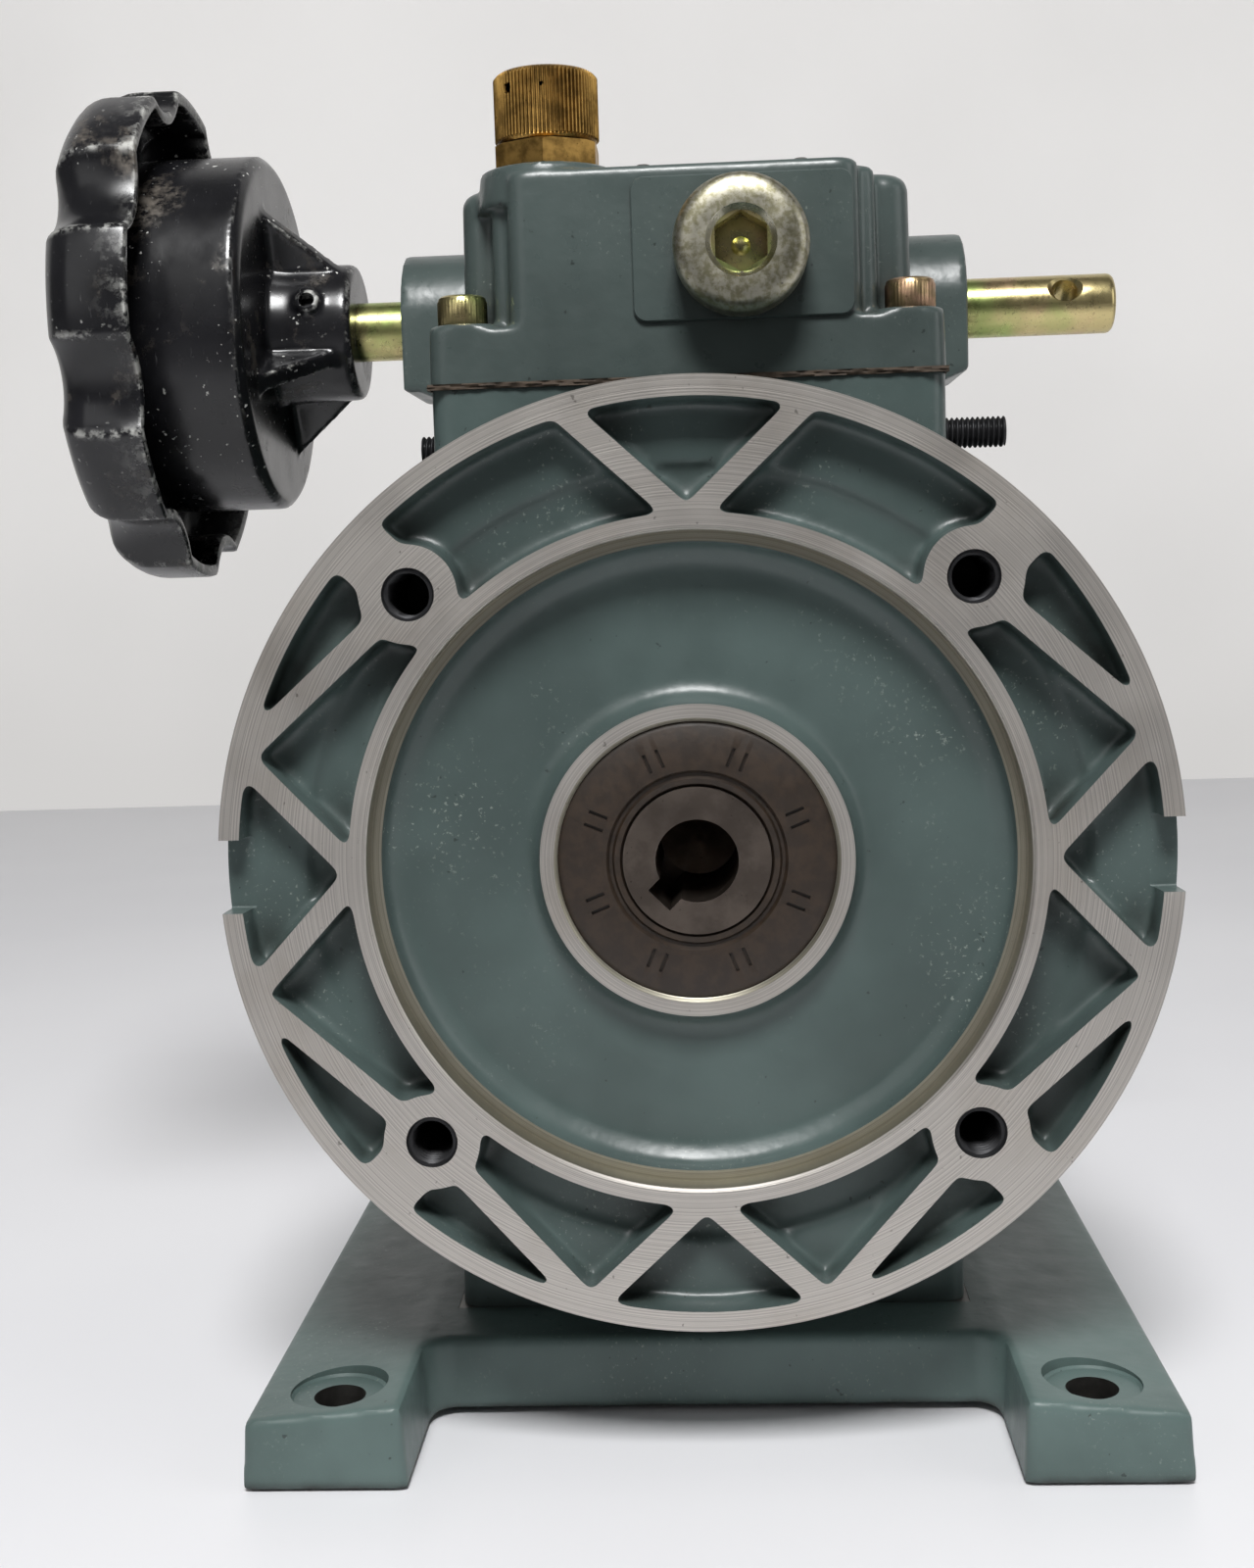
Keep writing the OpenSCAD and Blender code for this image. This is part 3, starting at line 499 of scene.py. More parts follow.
def zinc_look(name):
    """Yellow zinc plating: straw with faint green and rose drift."""
    k = Look(name)
    straw, green, rose = linear(206, 190, 138), linear(168, 186, 112), linear(206, 160, 140)
    colour = k.mix(k.band(k.noise(55, 3), 0.42, 0.66), straw, green)
    colour = k.mix(k.math("MULTIPLY", k.band(k.noise(85, 3, shift=4.2), 0.52, 0.72), 0.6), colour, rose)
    pits = k.band(k.noise(1300, 3, 0.6, shift=6.1), 0.56, 0.72)
    colour = k.mix(k.math("MULTIPLY", pits, 0.55), colour, linear(96, 88, 66))
    # Painted shade: ambient occlusion darkens creases and hollows to a dark brown.
    grime = k.band(k.crevice_shade(0.003), 0.25, 0.85, 0.75, 0.0)
    colour = k.mix(grime, colour, linear(46, 40, 26))
    k.bump(k.noise(800, 3), 0.20, 0.00010)
    roughness = k.math("MULTIPLY_ADD", k.noise(300, 4, shift=2.4), 0.30, 0.14)
    return k.set(Base_Color=colour, Metallic=1.0, Roughness=roughness)


def plastic_look(name, worn):
    """Glossy black moulded plastic with scuffs, dried smears and paint specks."""
    k = Look(name)
    colour = k.mix(k.band(k.noise(35, 4), 0.4, 0.7), (0.005, 0.005, 0.006), (0.013, 0.013, 0.015))
    smear = k.band(k.noise(48, 6, 0.66, shift=8.3), 0.53, 0.66)
    fine = k.band(k.noise(320, 4, 0.7, shift=1.7), 0.40, 0.62)
    smear = k.math("MULTIPLY", k.math("MULTIPLY", smear, fine), 0.70 * worn)
    colour = k.mix(smear, colour, linear(118, 110, 100))
    specks = k.band(k.noise(720, 2, 0.55, shift=3.3), 0.66, 0.70)
    where = k.band(k.noise(40, 2, shift=9.1), 0.42, 0.60)
    specks = k.math("MULTIPLY", k.math("MULTIPLY", specks, where), worn)
    rubbed = k.math("MULTIPLY", k.edges(0.515, 0.56), k.band(k.noise(300, 4, 0.7, shift=6.6), 0.46, 0.62))
    specks = k.math("MAXIMUM", specks, k.math("MULTIPLY", rubbed, 0.8 * worn))
    colour = k.mix(specks, colour, linear(205, 205, 200))
    scratch = k.band(k.noise(260, 5, 0.75, stretch=(5.0, 1.0, 1.0), shift=5.9), 0.62, 0.70)
    colour = k.mix(k.math("MULTIPLY", scratch, 0.16 * worn), colour, linear(150, 150, 150))
    rough = k.math("MULTIPLY_ADD", k.noise(90, 4, shift=4.4), 0.28, 0.10)
    rough = k.math("ADD", rough, k.math("MULTIPLY", k.math("ADD", smear, specks), 0.5))
    k.bump(k.noise(420, 3), 0.10, 0.00015)
    return k.set(Base_Color=colour, Roughness=rough, Specular_IOR_Level=0.5)


def soft_look(name, tone, rough, scale=500.0, grain=0.25):
    """Rubber, fibre or dull plastic with a fine grain."""
    k = Look(name)
    dark = tuple(c * (1 - grain) for c in tone)
    light = tuple(min(1, c * (1 + grain)) for c in tone)
    colour = k.mix(k.band(k.noise(scale, 4), 0.36, 0.66), dark, light)
    # Painted shade: ambient occlusion darkens creases and hollows.
    grime = k.band(k.crevice_shade(0.002), 0.3, 0.9, 0.7, 0.0)
    colour = k.mix(grime, colour, tuple(c * 0.25 for c in tone))
    k.bump(k.noise(scale * 2, 3), 0.25, 0.00012)
    roughness = k.math("MULTIPLY_ADD", k.noise(scale, 3, shift=1.3), 0.2, rough - 0.1)
    return k.set(Base_Color=colour, Roughness=roughness)


def clear_look(name):
    k = Look(name)
    rough = k.math("MULTIPLY_ADD", k.noise(200, 3), 0.10, 0.02)
    colour = k.mix(k.band(k.noise(60, 3), 0.4, 0.7), (0.93, 0.96, 0.97), (0.98, 0.99, 0.99))
    return k.set(Base_Color=colour, Roughness=rough, Transmission_Weight=1.0, IOR=1.49)


main_centre = (0, AXIS_Z)
PAINT = paint_look("painted_casting", linear(72, 85, 83), 0.22)
PAINT_BOX = paint_look("painted_cover", linear(67, 77, 75), 0.20)
# The base gets a lighter tone than the other castings: painted light, standing in for the top light falling
# on the foot.
PAINT_LIT_BASE = paint_look("painted_base_lit_tone", linear(84, 101, 98), 0.30)
MACHINED = turned_look("machined_face", linear(190, 185, 179), main_centre, rough=0.38)
BORED = turned_look("machined_bore", linear(160, 156, 142), main_centre, rough=0.36)
ZINC = zinc_look("yellow_zinc")
SPINDLE_ZINC = zinc_look("yellow_zinc_bar")
WARM_ZINC = metal_look("copper_tinted_zinc", linear(198, 162, 134), 0.32, 0.6, linear(160, 140, 104),
                       scale=300.0)
PLATED = metal_look("tarnished_nickel", linear(182, 178, 162), 0.36, 0.8, linear(142, 138, 112), scale=900.0)
BRIGHT = metal_look("bright_chamfer", linear(222, 218, 200), 0.24, 0.3)
BRASS = metal_look("tarnished_brass", linear(188, 150, 84), 0.38, 0.9, linear(128, 100, 54), scale=260.0)
STEEL = metal_look("ground_steel", linear(168, 166, 162), 0.30, 0.3)
SHAFT_STEEL = metal_look("dark_shaft_steel", linear(116, 106, 98), 0.34, 0.6)
IRON = metal_look("hardened_iron", linear(132, 130, 126), 0.38, 0.5)
BLACK_STEEL = metal_look("black_oxide", linear(44, 44, 46), 0.45, 0.4, metallic=0.6)
BRONZE = metal_look("bearing_bronze", linear(172, 124, 72), 0.38, 0.4)
COPPER = metal_look("annealed_copper", linear(184, 116, 84), 0.36, 0.4)
ALUMINIUM = metal_look("plate_aluminium", linear(190, 190, 188), 0.38, 0.3)
PLASTIC = plastic_look("scuffed_black_plastic", 1.0)
CLEAN_PLASTIC = plastic_look("black_plastic", 0.25)
RUBBER = soft_look("seal_rubber", linear(40, 29, 19), 0.50)
GASKET = soft_look("gasket_fibre", linear(58, 46, 34), 0.80, 300.0)
DIAL = soft_look("dial_face", linear(214, 214, 206), 0.45, 900.0, 0.04)
RED = soft_look("pointer_red", linear(178, 34, 26), 0.40)
INK = soft_look("dial_marks", linear(26, 26, 28), 0.50)
CLEAR = clear_look("clear_window")
SLOT_LOOK = {
    "painted_casting": PAINT, "zinc": ZINC, "black_steel": BLACK_STEEL, "steel": STEEL,
    "iron": IRON, "brass": BRASS, "bronze": BRONZE, "copper": COPPER, "seal_rubber": RUBBER,
    "gasket": GASKET, "black_plastic": CLEAN_PLASTIC, "dial_white": DIAL, "pointer_red": RED,
    "clear": CLEAR, "aluminium": ALUMINIUM,
}
NODE_LOOK = {"input_shaft": SHAFT_STEEL}


# ------------ motor flange
FACE_TOP = -4.0
POCKET = 6.0
STEP = 1.1
# top width, floor width, first and last depth of a rib; radius where ribs end in the rim
RIB = (3.6, 4.7, FACE_TOP, POCKET + 2)
RIB_END_R = 77.8
SPIGOT_R = 55.0
SPIGOT_DEPTH = 4.8
BOLT_R = 65.0
BOLT_ANGLES = (45, 135, 225, 315)
SCREW_ANGLES = (0, 38, -38, 180, 142, 218)
SCREW_CIRCLE_R = 73.0
FLANGE_SCREWS = at_angles(SCREW_CIRCLE_R, SCREW_ANGLES)
MOTOR_BOLTS = at_angles(BOLT_R, BOLT_ANGLES)
JOINT = 33.0
HOUSING_END = 147.0
COVER_END = 156.0


def depth_and_radius(c):
    """Depth behind the motor face and distance from the shaft axis of face centres."""
    return c[:, 1] - FACE_Y, np.hypot(c[:, 0], c[:, 2] - AXIS_Z)


def tapered_bar(p, q, top_w, floor_w, d0, d1):
    """Rib between two points of the flange face, wider at the pocket floor."""
    along = (Vector(q) - Vector(p)).normalized()
    side = Vector((-along.y, along.x))

    def ends(w):
        off = side * w / 2
        return [Vector(p) - off, Vector(q) - off, Vector(q) + off, Vector(p) + off]

    return loft([(d0, ends(top_w)), (d1, ends(floor_w))])


def polar(r, a):
    return (r * math.cos(math.radians(a)), r * math.sin(math.radians(a)))


def input_flange():
    body = revolve([
        (19, 1), (26.1, 1), (26.5, 6.0), (28.2, 8.6), (30.5, 9.3), (49.5, 9.3), (52.8, 7.2), (53.5, 3),
        (53.5, FACE_TOP), (57.6, FACE_TOP), (58.2, POCKET + STEP), (65.2, POCKET + STEP), (66.0, POCKET),
        (75.9, POCKET), (76.6, FACE_TOP),
        (FLANGE_R - 0.2, FACE_TOP), (FLANGE_R - 0.2, 2.5), (FLANGE_R - 0.8, 12), (67, 12.4), (65, 23.6),
        (78.6, 24.4),
        (78.9, 36), (57, 36), (57, 20), (50, 15), (32, 15), (30, 29), (19, 29),
    ], steps=180)
    ribs = []
    for k in range(4):
        for s in (-15, 15):
            ribs.append(tapered_bar(polar(56.5, 90 * k), polar(RIB_END_R, 90 * k + s), *RIB))
    for a, b in ((45, 15), (-45, -15), (-45, -75), (225, 195), (225, 255), (135, 165)):
        ribs.append(tapered_bar(polar(BOLT_R, a), polar(RIB_END_R, b), *RIB))
    for a in BOLT_ANGLES:
        ribs.append(tapered_bar(polar(56, a), polar(RIB_END_R, a), 9.9, 11.0, FACE_TOP, POCKET + 2))
        x, z = polar(BOLT_R, a)
        place = (x, FACE_Y, AXIS_Z + z)
        pad = [(0, FACE_TOP), (7.9, FACE_TOP), (8.7, POCKET + 1), (0, POCKET + 1)]
        ribs.append(revolve(pad, origin=place, steps=64))
        ribs.append(rod(x, z, 8.1, 10, 25))
    obj = cast([body] + ribs, 0.62, 18, 170000)
    tools = [
        block((-90, 90), (-20, 0), (-90, 90)),
        block((-90, 90), (JOINT, 60), (-90, 90)),
        revolve([(0, -5), (SPIGOT_R, -5), (SPIGOT_R, SPIGOT_DEPTH), (0, SPIGOT_DEPTH)], steps=180),
        revolve([(0, 0), (27.2, 0), (27.2, 5), (0, 5)], steps=96),
        revolve([(0, 1), (24.1, 1), (24.1, 5.3), (23.5, 5.9), (23.5, 25.6), (20, 25.6), (20, 40), (0, 40)],
                steps=128),
        revolve([(54.8, -1), (56.3, -1), (55.0, 0.55), (54.8, 0.55)], steps=180),
        revolve([(79.3, -1), (82, -1), (82, 1), (80.2, 1)], steps=180),
        block((74.5, 90), (-5, POCKET - 0.3), (-6.2, 6.2), round_by=0.5),
        block((-90, -74.5), (-5, POCKET - 0.3), (-6.2, 6.2), round_by=0.5),
    ]
    for a in BOLT_ANGLES:
        x, z = polar(BOLT_R, a)
        place = (x, FACE_Y, AXIS_Z + z)
        tools.append(thread_rod(4.08, 3.45, 1.25, -1, 21, origin=place))
        tools.append(revolve([(0, -1), (4.9, -1), (4.0, 0.7), (0, 0.7)], origin=place, steps=48))
    for x, z in FLANGE_SCREWS:
        tools.append(rod(x, z, 3.05, 26, 40, steps=32))
    cut(obj, *tools)

    def rule(c, n):
        d, r = depth_and_radius(c)
        face = (d < 0.06) & (n[:, 1] < -0.9)
        chamfer = (d < 0.9) & ((np.abs(r - 55.4) < 0.9) | (r > 79.3))
        spigot = (r > 53.45) & (r < 55.2) & (d < SPIGOT_DEPTH + 0.05)
        hub = (r < 27.3) & (d < 5.05) & (n[:, 1] < -0.9)
        bore = (r < 24.3) & (d > 4.9)
        holes = np.zeros(len(d), bool)
        for x, z in MOTOR_BOLTS:
            holes |= (np.hypot(c[:, 0] - x, c[:, 2] - AXIS_Z - z) < 4.95) & (d > 0.02) & (d < 22)
        out = np.zeros(len(d))
        out[face | chamfer | hub] = 1
        out[spigot | bore] = 2
        out[holes] = 3
        return out

    return publish(obj, "motor_flange_casting", "housing", ["input_flange"],
                   [PAINT, MACHINED, BORED, BLACK_STEEL], rule=rule)


# ------------ base
FOOT_HOLE = 65.0
FLOOR = (0, 0, 0)


def corner_fillet(x, y, r, sx, sy, z0, z1):
    """Concave corner filler whose arc faces away from the corner."""
    arc = []
    for i in range(9):
        t = math.pi / 2 * i / 8
        arc.append((x + sx * (r - r * math.sin(t)), y + sy * (r - r * math.cos(t))))
    back = [(x - sx * 2, y + sy * r), (x - sx * 2, y - sy * 2), (x + sx * r, y - sy * 2)]
    points = arc + back[::-1]
    return loft([(z0, points), (z1, points)], "Z", FLOOR)


def base_foot():
    solids = []
    for s in (-1, 1):
        low = [(s * 51.8, 0.1), (s * 80.2, 0.1), (s * 79.3, 12.6), (s * 52.4, 15.1)]
        solids.append(loft([(-76.4, low), (76.4, low)], "Y", FLOOR))
        for sy, y in ((-1, -47.5), (1, 62.5)):
            solids.append(corner_fillet(s * 52.2, y, 4.0, -s, sy, 1.5, 14.6))
    web = round_rect_points(108, 110, 2, x=0, y=7.5)
    solids.append(loft([(1.5, web), (15.1, web)], "Z", FLOOR))
    holes = [(x, y) for x in (-FOOT_HOLE, FOOT_HOLE) for y in (-FOOT_HOLE, FOOT_HOLE)]
    obj = cast(solids, 0.85, 6, 150000)
    tools = [block((-90, 90), (-90, 90), (-9, 0.25), FLOOR), block((-24, 24), (-14.5, 29.5), (-5, 30), FLOOR)]
    tools.append(block((-48.5, 48.5), (-33, 48), (15.0, 30), FLOOR))
    for x, y in holes:
        tools.append(rod(x, y, 4.5, -2, 20, "Z", FLOOR))
        tools.append(revolve([(0, 12.2), (8.0, 12.2), (8.5, 12.6), (8.7, 20), (0, 20)], "Z", (x, y, 0), 64))
    for x in (-38, 38):
        for y in (-22.5, 37.5):
            tools += [rod(x, y, 4.5, -2, 20, "Z", FLOOR), rod(x, y, 7.25, -2, 10, "Z", FLOOR)]
    cut(obj, *tools)

    def rule(c, n):
        out = np.zeros(len(c))
        seat = (np.abs(n[:, 2]) > 0.99) & (np.abs(c[:, 2] - 15) < 0.02) & (np.abs(c[:, 0]) < 48.6)
        out[(c[:, 2] < 0.3) | seat] = 1
        for x, y in holes:
            out[(np.hypot(c[:, 0] - x, c[:, 1] - y) < 4.52) & (c[:, 2] > 0.3)] = 1
        return out

    return publish(obj, "base_casting", "housing", ["base_foot"],
                   [PAINT_LIT_BASE, IRON], rule=rule)


# ------------ housing and output cover
BORE_R = 62.0
COVER_FACE_H = 83.0
SCREW_X = 41.5
SCREW_DEPTHS = (50, 140)


def upright(x, depth, h0, h1, r, r_top=None, steps=48):
    r_top = r if r_top is None else r_top
    return revolve([(0, h0), (r, h0), (r_top, h1), (0, h1)], "Z", (x, FACE_Y + depth, AXIS_Z), steps)


def slab(w, h, x, depth, h0, h1, r, draft=0.0, crown=0.0):
    """Upright block with round corners, slightly narrower and rounded over at the top."""
    place = (x, FACE_Y + depth, AXIS_Z)
    sections = [(h0, round_rect_points(w, h, r))]
    for i in range(6 if crown else 1):
        t = math.pi / 10 * i
        inset = draft + 2 * crown * (1 - math.cos(t))
        sections.append((h1 - crown * (1 - math.sin(t)), round_rect_points(w - inset, h - inset, r)))
    return loft(sections, "Z", place)


def main_housing():
    solids = [
        revolve([(0, 31), (79.1, 31), (79.1, 41.8), (69, 43.4), (67.4, 48), (67.4, 132), (69, 136.6),
                 (79.1, 138.2), (79.1, 149), (0, 149)], steps=160),
        slab(94.8, 104, 0, 94.2, 30, 86, 4, 0.2),
        slab(96, 80, 0, 78, -94, -40, 4, 0.8),
    ]
    for s in (-1, 1):
        solids.append(block((s * 60 - 3, s * 60 + 3), (41, 139), (-31, 31)))
    obj = cast(solids, 1.1, 6, 150000)
    tools = [
        block((-90, 90), (0, JOINT), (-90, 90)), block((-90, 90), (HOUSING_END, 170), (-90, 90)),
        block((-90, 90), (0, 170), (COVER_FACE_H, 95)), block((-90, 90), (0, 170), (-100, -90)),
        rod(0, 0, BORE_R, 20, 160, steps=160), block((-41, 41), (50, 140), (45, 90)),
        block((-30, 30), (48, 108), (-95, -76)),
    ]
    tools += [upright(s * SCREW_X, d, 64, 90, 3.05) for s in (-1, 1) for d in SCREW_DEPTHS]
    for x, z in FLANGE_SCREWS:
        tools += [rod(x, z, 3.3, 30, 50, steps=32), rod(x, z, 3.05, 137, 150, steps=32)]
        tools.append(rod(x, z, 5.6, 41.9, 50, steps=48))
    for s in (-1, 1):
        tools.append(stud_hole(s))
    cut(obj, *tools)

    def rule(c, n):
        d, r = depth_and_radius(c)
        out = np.zeros(len(d))
        ends = (d < JOINT + 0.02) | (d > HOUSING_END - 0.02)
        out[(ends & (r < 79.2)) | (c[:, 2] - AXIS_Z > COVER_FACE_H - 0.02)] = 1
        out[c[:, 2] - AXIS_Z < -89.98] = 1
        out[(r < BORE_R + 0.1)] = 2
        return out

    return publish(obj, "housing_casting", "housing", ["main_housing"],
                   [PAINT, MACHINED, BORED], rule=rule)


STUD_DEPTH = 70.0
STUD_H = 73.6


def stud_hole(s):
    place = (0, FACE_Y + STUD_DEPTH, AXIS_Z + STUD_H)
    return rod(0, 0, 3.1, min(s * 30, s * 60), max(s * 30, s * 60), "X", place)


PLUG_AT = (10.4, 105.4)
DRAIN_AT = (0, -45)
GLASS_AT = (43.5, -11.6)


def output_cover():
    solids = [revolve([
        (16, 116), (27.9, 116), (27.9, 142), (30, 149.2), (56, 149.2), (56, 106.1), (61.9, 106.1),
        (61.9, 145.5), (79.1, 145.5), (79.1, 156.2), (36, 156.8), (32.6, 158.5), (31.2, 166), (16, 166)],
        steps=160)]
    for x, z in FLANGE_SCREWS:
        solids.append(rod(x, z, 5.9, 150, 156.6))
    for x, z in (DRAIN_AT, GLASS_AT):
        solids.append(rod(x, z, 13.6, 150, 156.4))
    obj = cast(solids, 0.9, 5, 150000)
    tools = [
        revolve([(BORE_R - 0.2, 100), (90, 100), (90, HOUSING_END), (BORE_R - 0.2, HOUSING_END)],
                steps=160),
        rod(0, 0, 90, 164, 175, steps=96), rod(0, 0, 17.52, 156.8, 175, steps=96),
        rod(0, 0, 21.0, 110, 154.3, steps=96), rod(0, 0, 15.0, 150, 160, steps=64),
    ]
    for x, z in FLANGE_SCREWS:
        tools += [rod(x, z, 3.3, 140, 160, steps=32), rod(x, z, 5.5, 155.98, 162)]
    for x, z in (DRAIN_AT, GLASS_AT):
        tools += [rod(x, z, 8.32, 138, 160), rod(x, z, 13.0, 155.98, 162)]
    cut(obj, *tools)

    def rule(c, n):
        d, r = depth_and_radius(c)
        out = np.zeros(len(d))
        joint = (r > BORE_R - 0.3) & (d < HOUSING_END + 0.02)
        spots = (np.abs(d - 155.98) < 0.02) & (n[:, 1] > 0.98)
        out[(d > 163.95) | joint | spots] = 1
        out[(r < 21.1)] = 2
        return out

    return publish(obj, "output_cover_casting", "housing", ["output_cover"],
                   [PAINT, MACHINED, BORED], rule=rule)


# ------------ control cover
BREATHER_AT = (-25, 56)
BREATHER_H = 123.1
BOX_TOP = 121.4


def side_boss(x0, x1):
    """Half-round boss on the side of the cover, flat underneath."""
    flat = -14.1
    points = [(15 * math.cos(math.radians(a)), 15 * math.sin(math.radians(a))) for a in range(0, 181, 6)]
    points += [(-15, flat), (15, flat)]
    return loft([(x0, points), (x1, points)], "X", SPINDLE)


def control_cover():
    centre = 95
    solids = [
        slab(94.9, 106.2, 0, centre, 80, 93.7, 3.5, 0.5),
        slab(64.6, 106.4, 0, centre, 84, BOX_TOP + 0.1, 3.6, 0.7, 1.2),
        slab(71.6, 95.4, 0, centre, 84, BOX_TOP - 0.3, 2.5, 1.0, 1.6),
        slab(85.2, 80.6, 0.2, centre, 84, BOX_TOP - 0.2, 4.5, 1.0, 3.2),
        side_boss(-58.1, -30), side_boss(30, 56.1),
        upright(BREATHER_AT[0], BREATHER_AT[1], 116, BREATHER_H + 0.1, 13.6, 12.7),
    ]
    for s in (-1, 1):
        for d in (48.5, 141.5):
            solids.append(slab(13.4, 13, s * 40.6, d, 90, 94.7, 5.5))
        wedge = [(s * 44, 83), (s * 47.6, 83.4), (s * 55.2, 86.5), (s * 55.2, 90), (s * 44, 90)]
        solids.append(loft([(80, wedge), (110, wedge)], "Y", MAIN))
    obj = cast(solids, 0.66, 3, 190000)
    panel = loft([(41.05, round_rect_points(39.6, 25.2, 2.2, x=10.8, y=106.3)),
                  (41.4, round_rect_points(40.1, 25.7, 2.4, x=10.8, y=106.3)),
                  (45, round_rect_points(40.1, 25.7, 2.4, x=10.8, y=106.3))])
    weld(obj, panel)
    tools = [
        block((-90, 90), (0, 170), (70, 83.6)),
        block((-34, 34), (60, 130), (80, 116)), block((-27, 27), (48, 142), (80, 116)),
        rod(0, 0, 8, -62, 62, "X", SPINDLE), upright(BREATHER_AT[0], BREATHER_AT[1], 110, 130, 6.05),
        rod(PLUG_AT[0], PLUG_AT[1], 8.35, 35, 52),
    ]
    for s in (-1, 1):
        tools += [upright(s * SCREW_X, d, 80, 100, 3.3) for d in SCREW_DEPTHS]
    cut(obj, *tools)

    def rule(c, n):
        h = c[:, 2] - AXIS_Z
        out = np.zeros(len(h))
        out[h < 83.62] = 1
        out[np.hypot(c[:, 1] - SPINDLE_Y, c[:, 2] - SPINDLE_Z) < 8.03] = 1
        return out

    return publish(obj, "control_cover_casting", "housing", ["control_cover"],
                   [PAINT_BOX, STEEL], rule=rule)


def wobble(i, n, seed):
    t = 2 * math.pi * i / n
    return (math.sin(17 * t + seed) + math.sin(41 * t + 2.3 * seed) + 0.8 * math.sin(97 * t + 5 * seed)
            + 0.5 * math.sin(171 * t + 1.7 * seed)) / 3.3


def cover_gasket():
    """Fibre gasket whose sealing paste is squeezed out unevenly round the edge."""
    n = 720
    w, d = 95.0, 105.6

    def edge(grow, seed):
        points = []
        for i in range(n):
            t = 4.0 * i / n
            side, f = int(t), t - int(t)
            g = grow + 0.35 * wobble(i, n, seed)
            x = [(f - 0.5) * w, w / 2, (0.5 - f) * w, -w / 2][side]
            y = [-d / 2, (f - 0.5) * d, d / 2, (0.5 - f) * d][side]
            out_x = [0, 1, 0, -1][side]
            out_y = [-1, 0, 1, 0][side]
            points.append((x + out_x * g, y + out_y * g))
        return points

    place = (0, FACE_Y + 94.5, AXIS_Z + COVER_FACE_H)
    layers = ((-0.25, 0.0), (0.03, 0.05), (0.3, 0.12), (0.57, 0.05), (0.8, 0.0))
    obj = loft([(z, edge(grow, seed)) for seed, (z, grow) in enumerate(layers, 1)], "Z", place)
    tools = [block((-38, 38), (58, 132), (80, 90)), block((-33, 33), (47, 143), (80, 90)),
             block((-47.0, 47.0), (42.4, 146.6), (82, 83.02)),
             block((-47.0, 47.0), (42.4, 146.6), (83.58, 85))]
    tools += [upright(s * SCREW_X, q, 80, 90, 3.3) for s in (-1, 1) for q in SCREW_DEPTHS]
    cut(obj, *tools)
    return publish(obj, "gasket_sheet", "housing", ["cover_gasket"], [GASKET])


# ------------ screws, plugs, studs, breather
def knurl(r, depth, ribs, per=4, phase=0.0):
    heights = [0.0, 1.0, 1.0, 0.0] if per == 4 else [0.0, 0.8, 1.0, 0.8, 0.1, 0.0]
    points = []
    n = ribs * per
    for i in range(n):
        t = 2 * math.pi * (i + phase) / n
        rr = r - depth * (1 - heights[i % per])
        points.append((rr * math.cos(t), rr * math.sin(t)))
    return points


def socket_screw(place, axis, shank, head_r, head_h, length, key):
    ribs = 40
    n = ribs * 4
    sections = [
        (-length, circle_points(shank - 0.7, n)), (-length + 0.7, circle_points(shank, n)),
        (0, circle_points(shank, n)), (0, circle_points(head_r - 0.25, n)), (0.35, knurl(head_r, 0.06, ribs)),
        (head_h - 1.1, knurl(head_r, 0.06, ribs)), (head_h - 0.85, circle_points(head_r - 0.16, n)),
        (head_h - 0.35, circle_points(head_r - 0.28, n)), (head_h, circle_points(head_r - 0.75, n)),
    ]
    head = loft(sections, axis, place)
    socket = loft([(head_h * 0.45, hexagon(key, 0.5)), (head_h + 1, hexagon(key, 0.5))], axis, place)
    chamfer = [(0, head_h - 0.5), (key * 0.5, head_h - 0.5), (key * 0.62, head_h + 0.3), (0, head_h + 0.3)]
    mouth = revolve(chamfer, axis, place, 48)
    return cut(head, socket, mouth)


def screws():
    covers = [(s * SCREW_X, FACE_Y + d, AXIS_Z + 94.62) for s in (-1, 1) for d in SCREW_DEPTHS]
    obj = join([socket_screw(p, "Z", 3, 4.65, 5.8, 24, 5) for p in covers])
    publish(obj, "cover_socket_screws", "housing", ["cover_screws"], [ZINC, WARM_ZINC],
            rule=lambda c, n: np.where(c[:, 0] > 0, 1, 0))
    for node, depth, length in (("flange_screws", 42.02, 14), ("output_cover_screws", 156.02, 17)):
        places = [(x, FACE_Y + depth, AXIS_Z + z) for x, z in FLANGE_SCREWS]
        obj = join([socket_screw(p, "Y", 3, 5, 6, length, 5) for p in places])
        publish(obj, node.replace("_screws", "_socket_screws"), "housing", [node], [ZINC])


def oil_plug(place, axis):
    profile = [
        (0, -9), (7.4, -9), (8.3, -8.2), (8.3, 1.6), (11.4, 1.6), (11.95, 2.1), (12.1, 2.9), (12.1, 8.6),
        (11.85, 9.7), (11.1, 10.6), (9.8, 11.15), (7.9, 11.4), (6.3, 11.4), (5.3, 10.3), (0, 10.3),
    ]
    head = revolve(profile, axis, place, 128)
    socket = loft([(4.4, hexagon(9.2, 0.5)), (12, hexagon(9.2, 0.5))], axis, place)
    dimple = revolve([(0, 3.2), (2.0, 4.6), (0, 4.6)], axis, place, 32)
    return cut(head, socket, dimple)


def plugs():
    front = oil_plug((PLUG_AT[0], FACE_Y + 41.1, AXIS_Z + PLUG_AT[1]), "-Y")
    drain = oil_plug((DRAIN_AT[0], FACE_Y + COVER_END, AXIS_Z + DRAIN_AT[1]), "Y")

    def rule(c, n):
        r = np.full(len(c), 99.0)
        for x, z in (PLUG_AT, DRAIN_AT):
            r = np.minimum(r, np.hypot(c[:, 0] - x, c[:, 2] - AXIS_Z - z))
        out = np.zeros(len(c))
        out[(r > 5.25) & (r < 6.35)] = 1
        out[r <= 5.25] = 2
        return out

    publish(join([front, drain]), "hollow_hexagon_plugs", "housing", ["oil_plugs"],
            [PLATED, BRIGHT, ZINC], rule=rule)


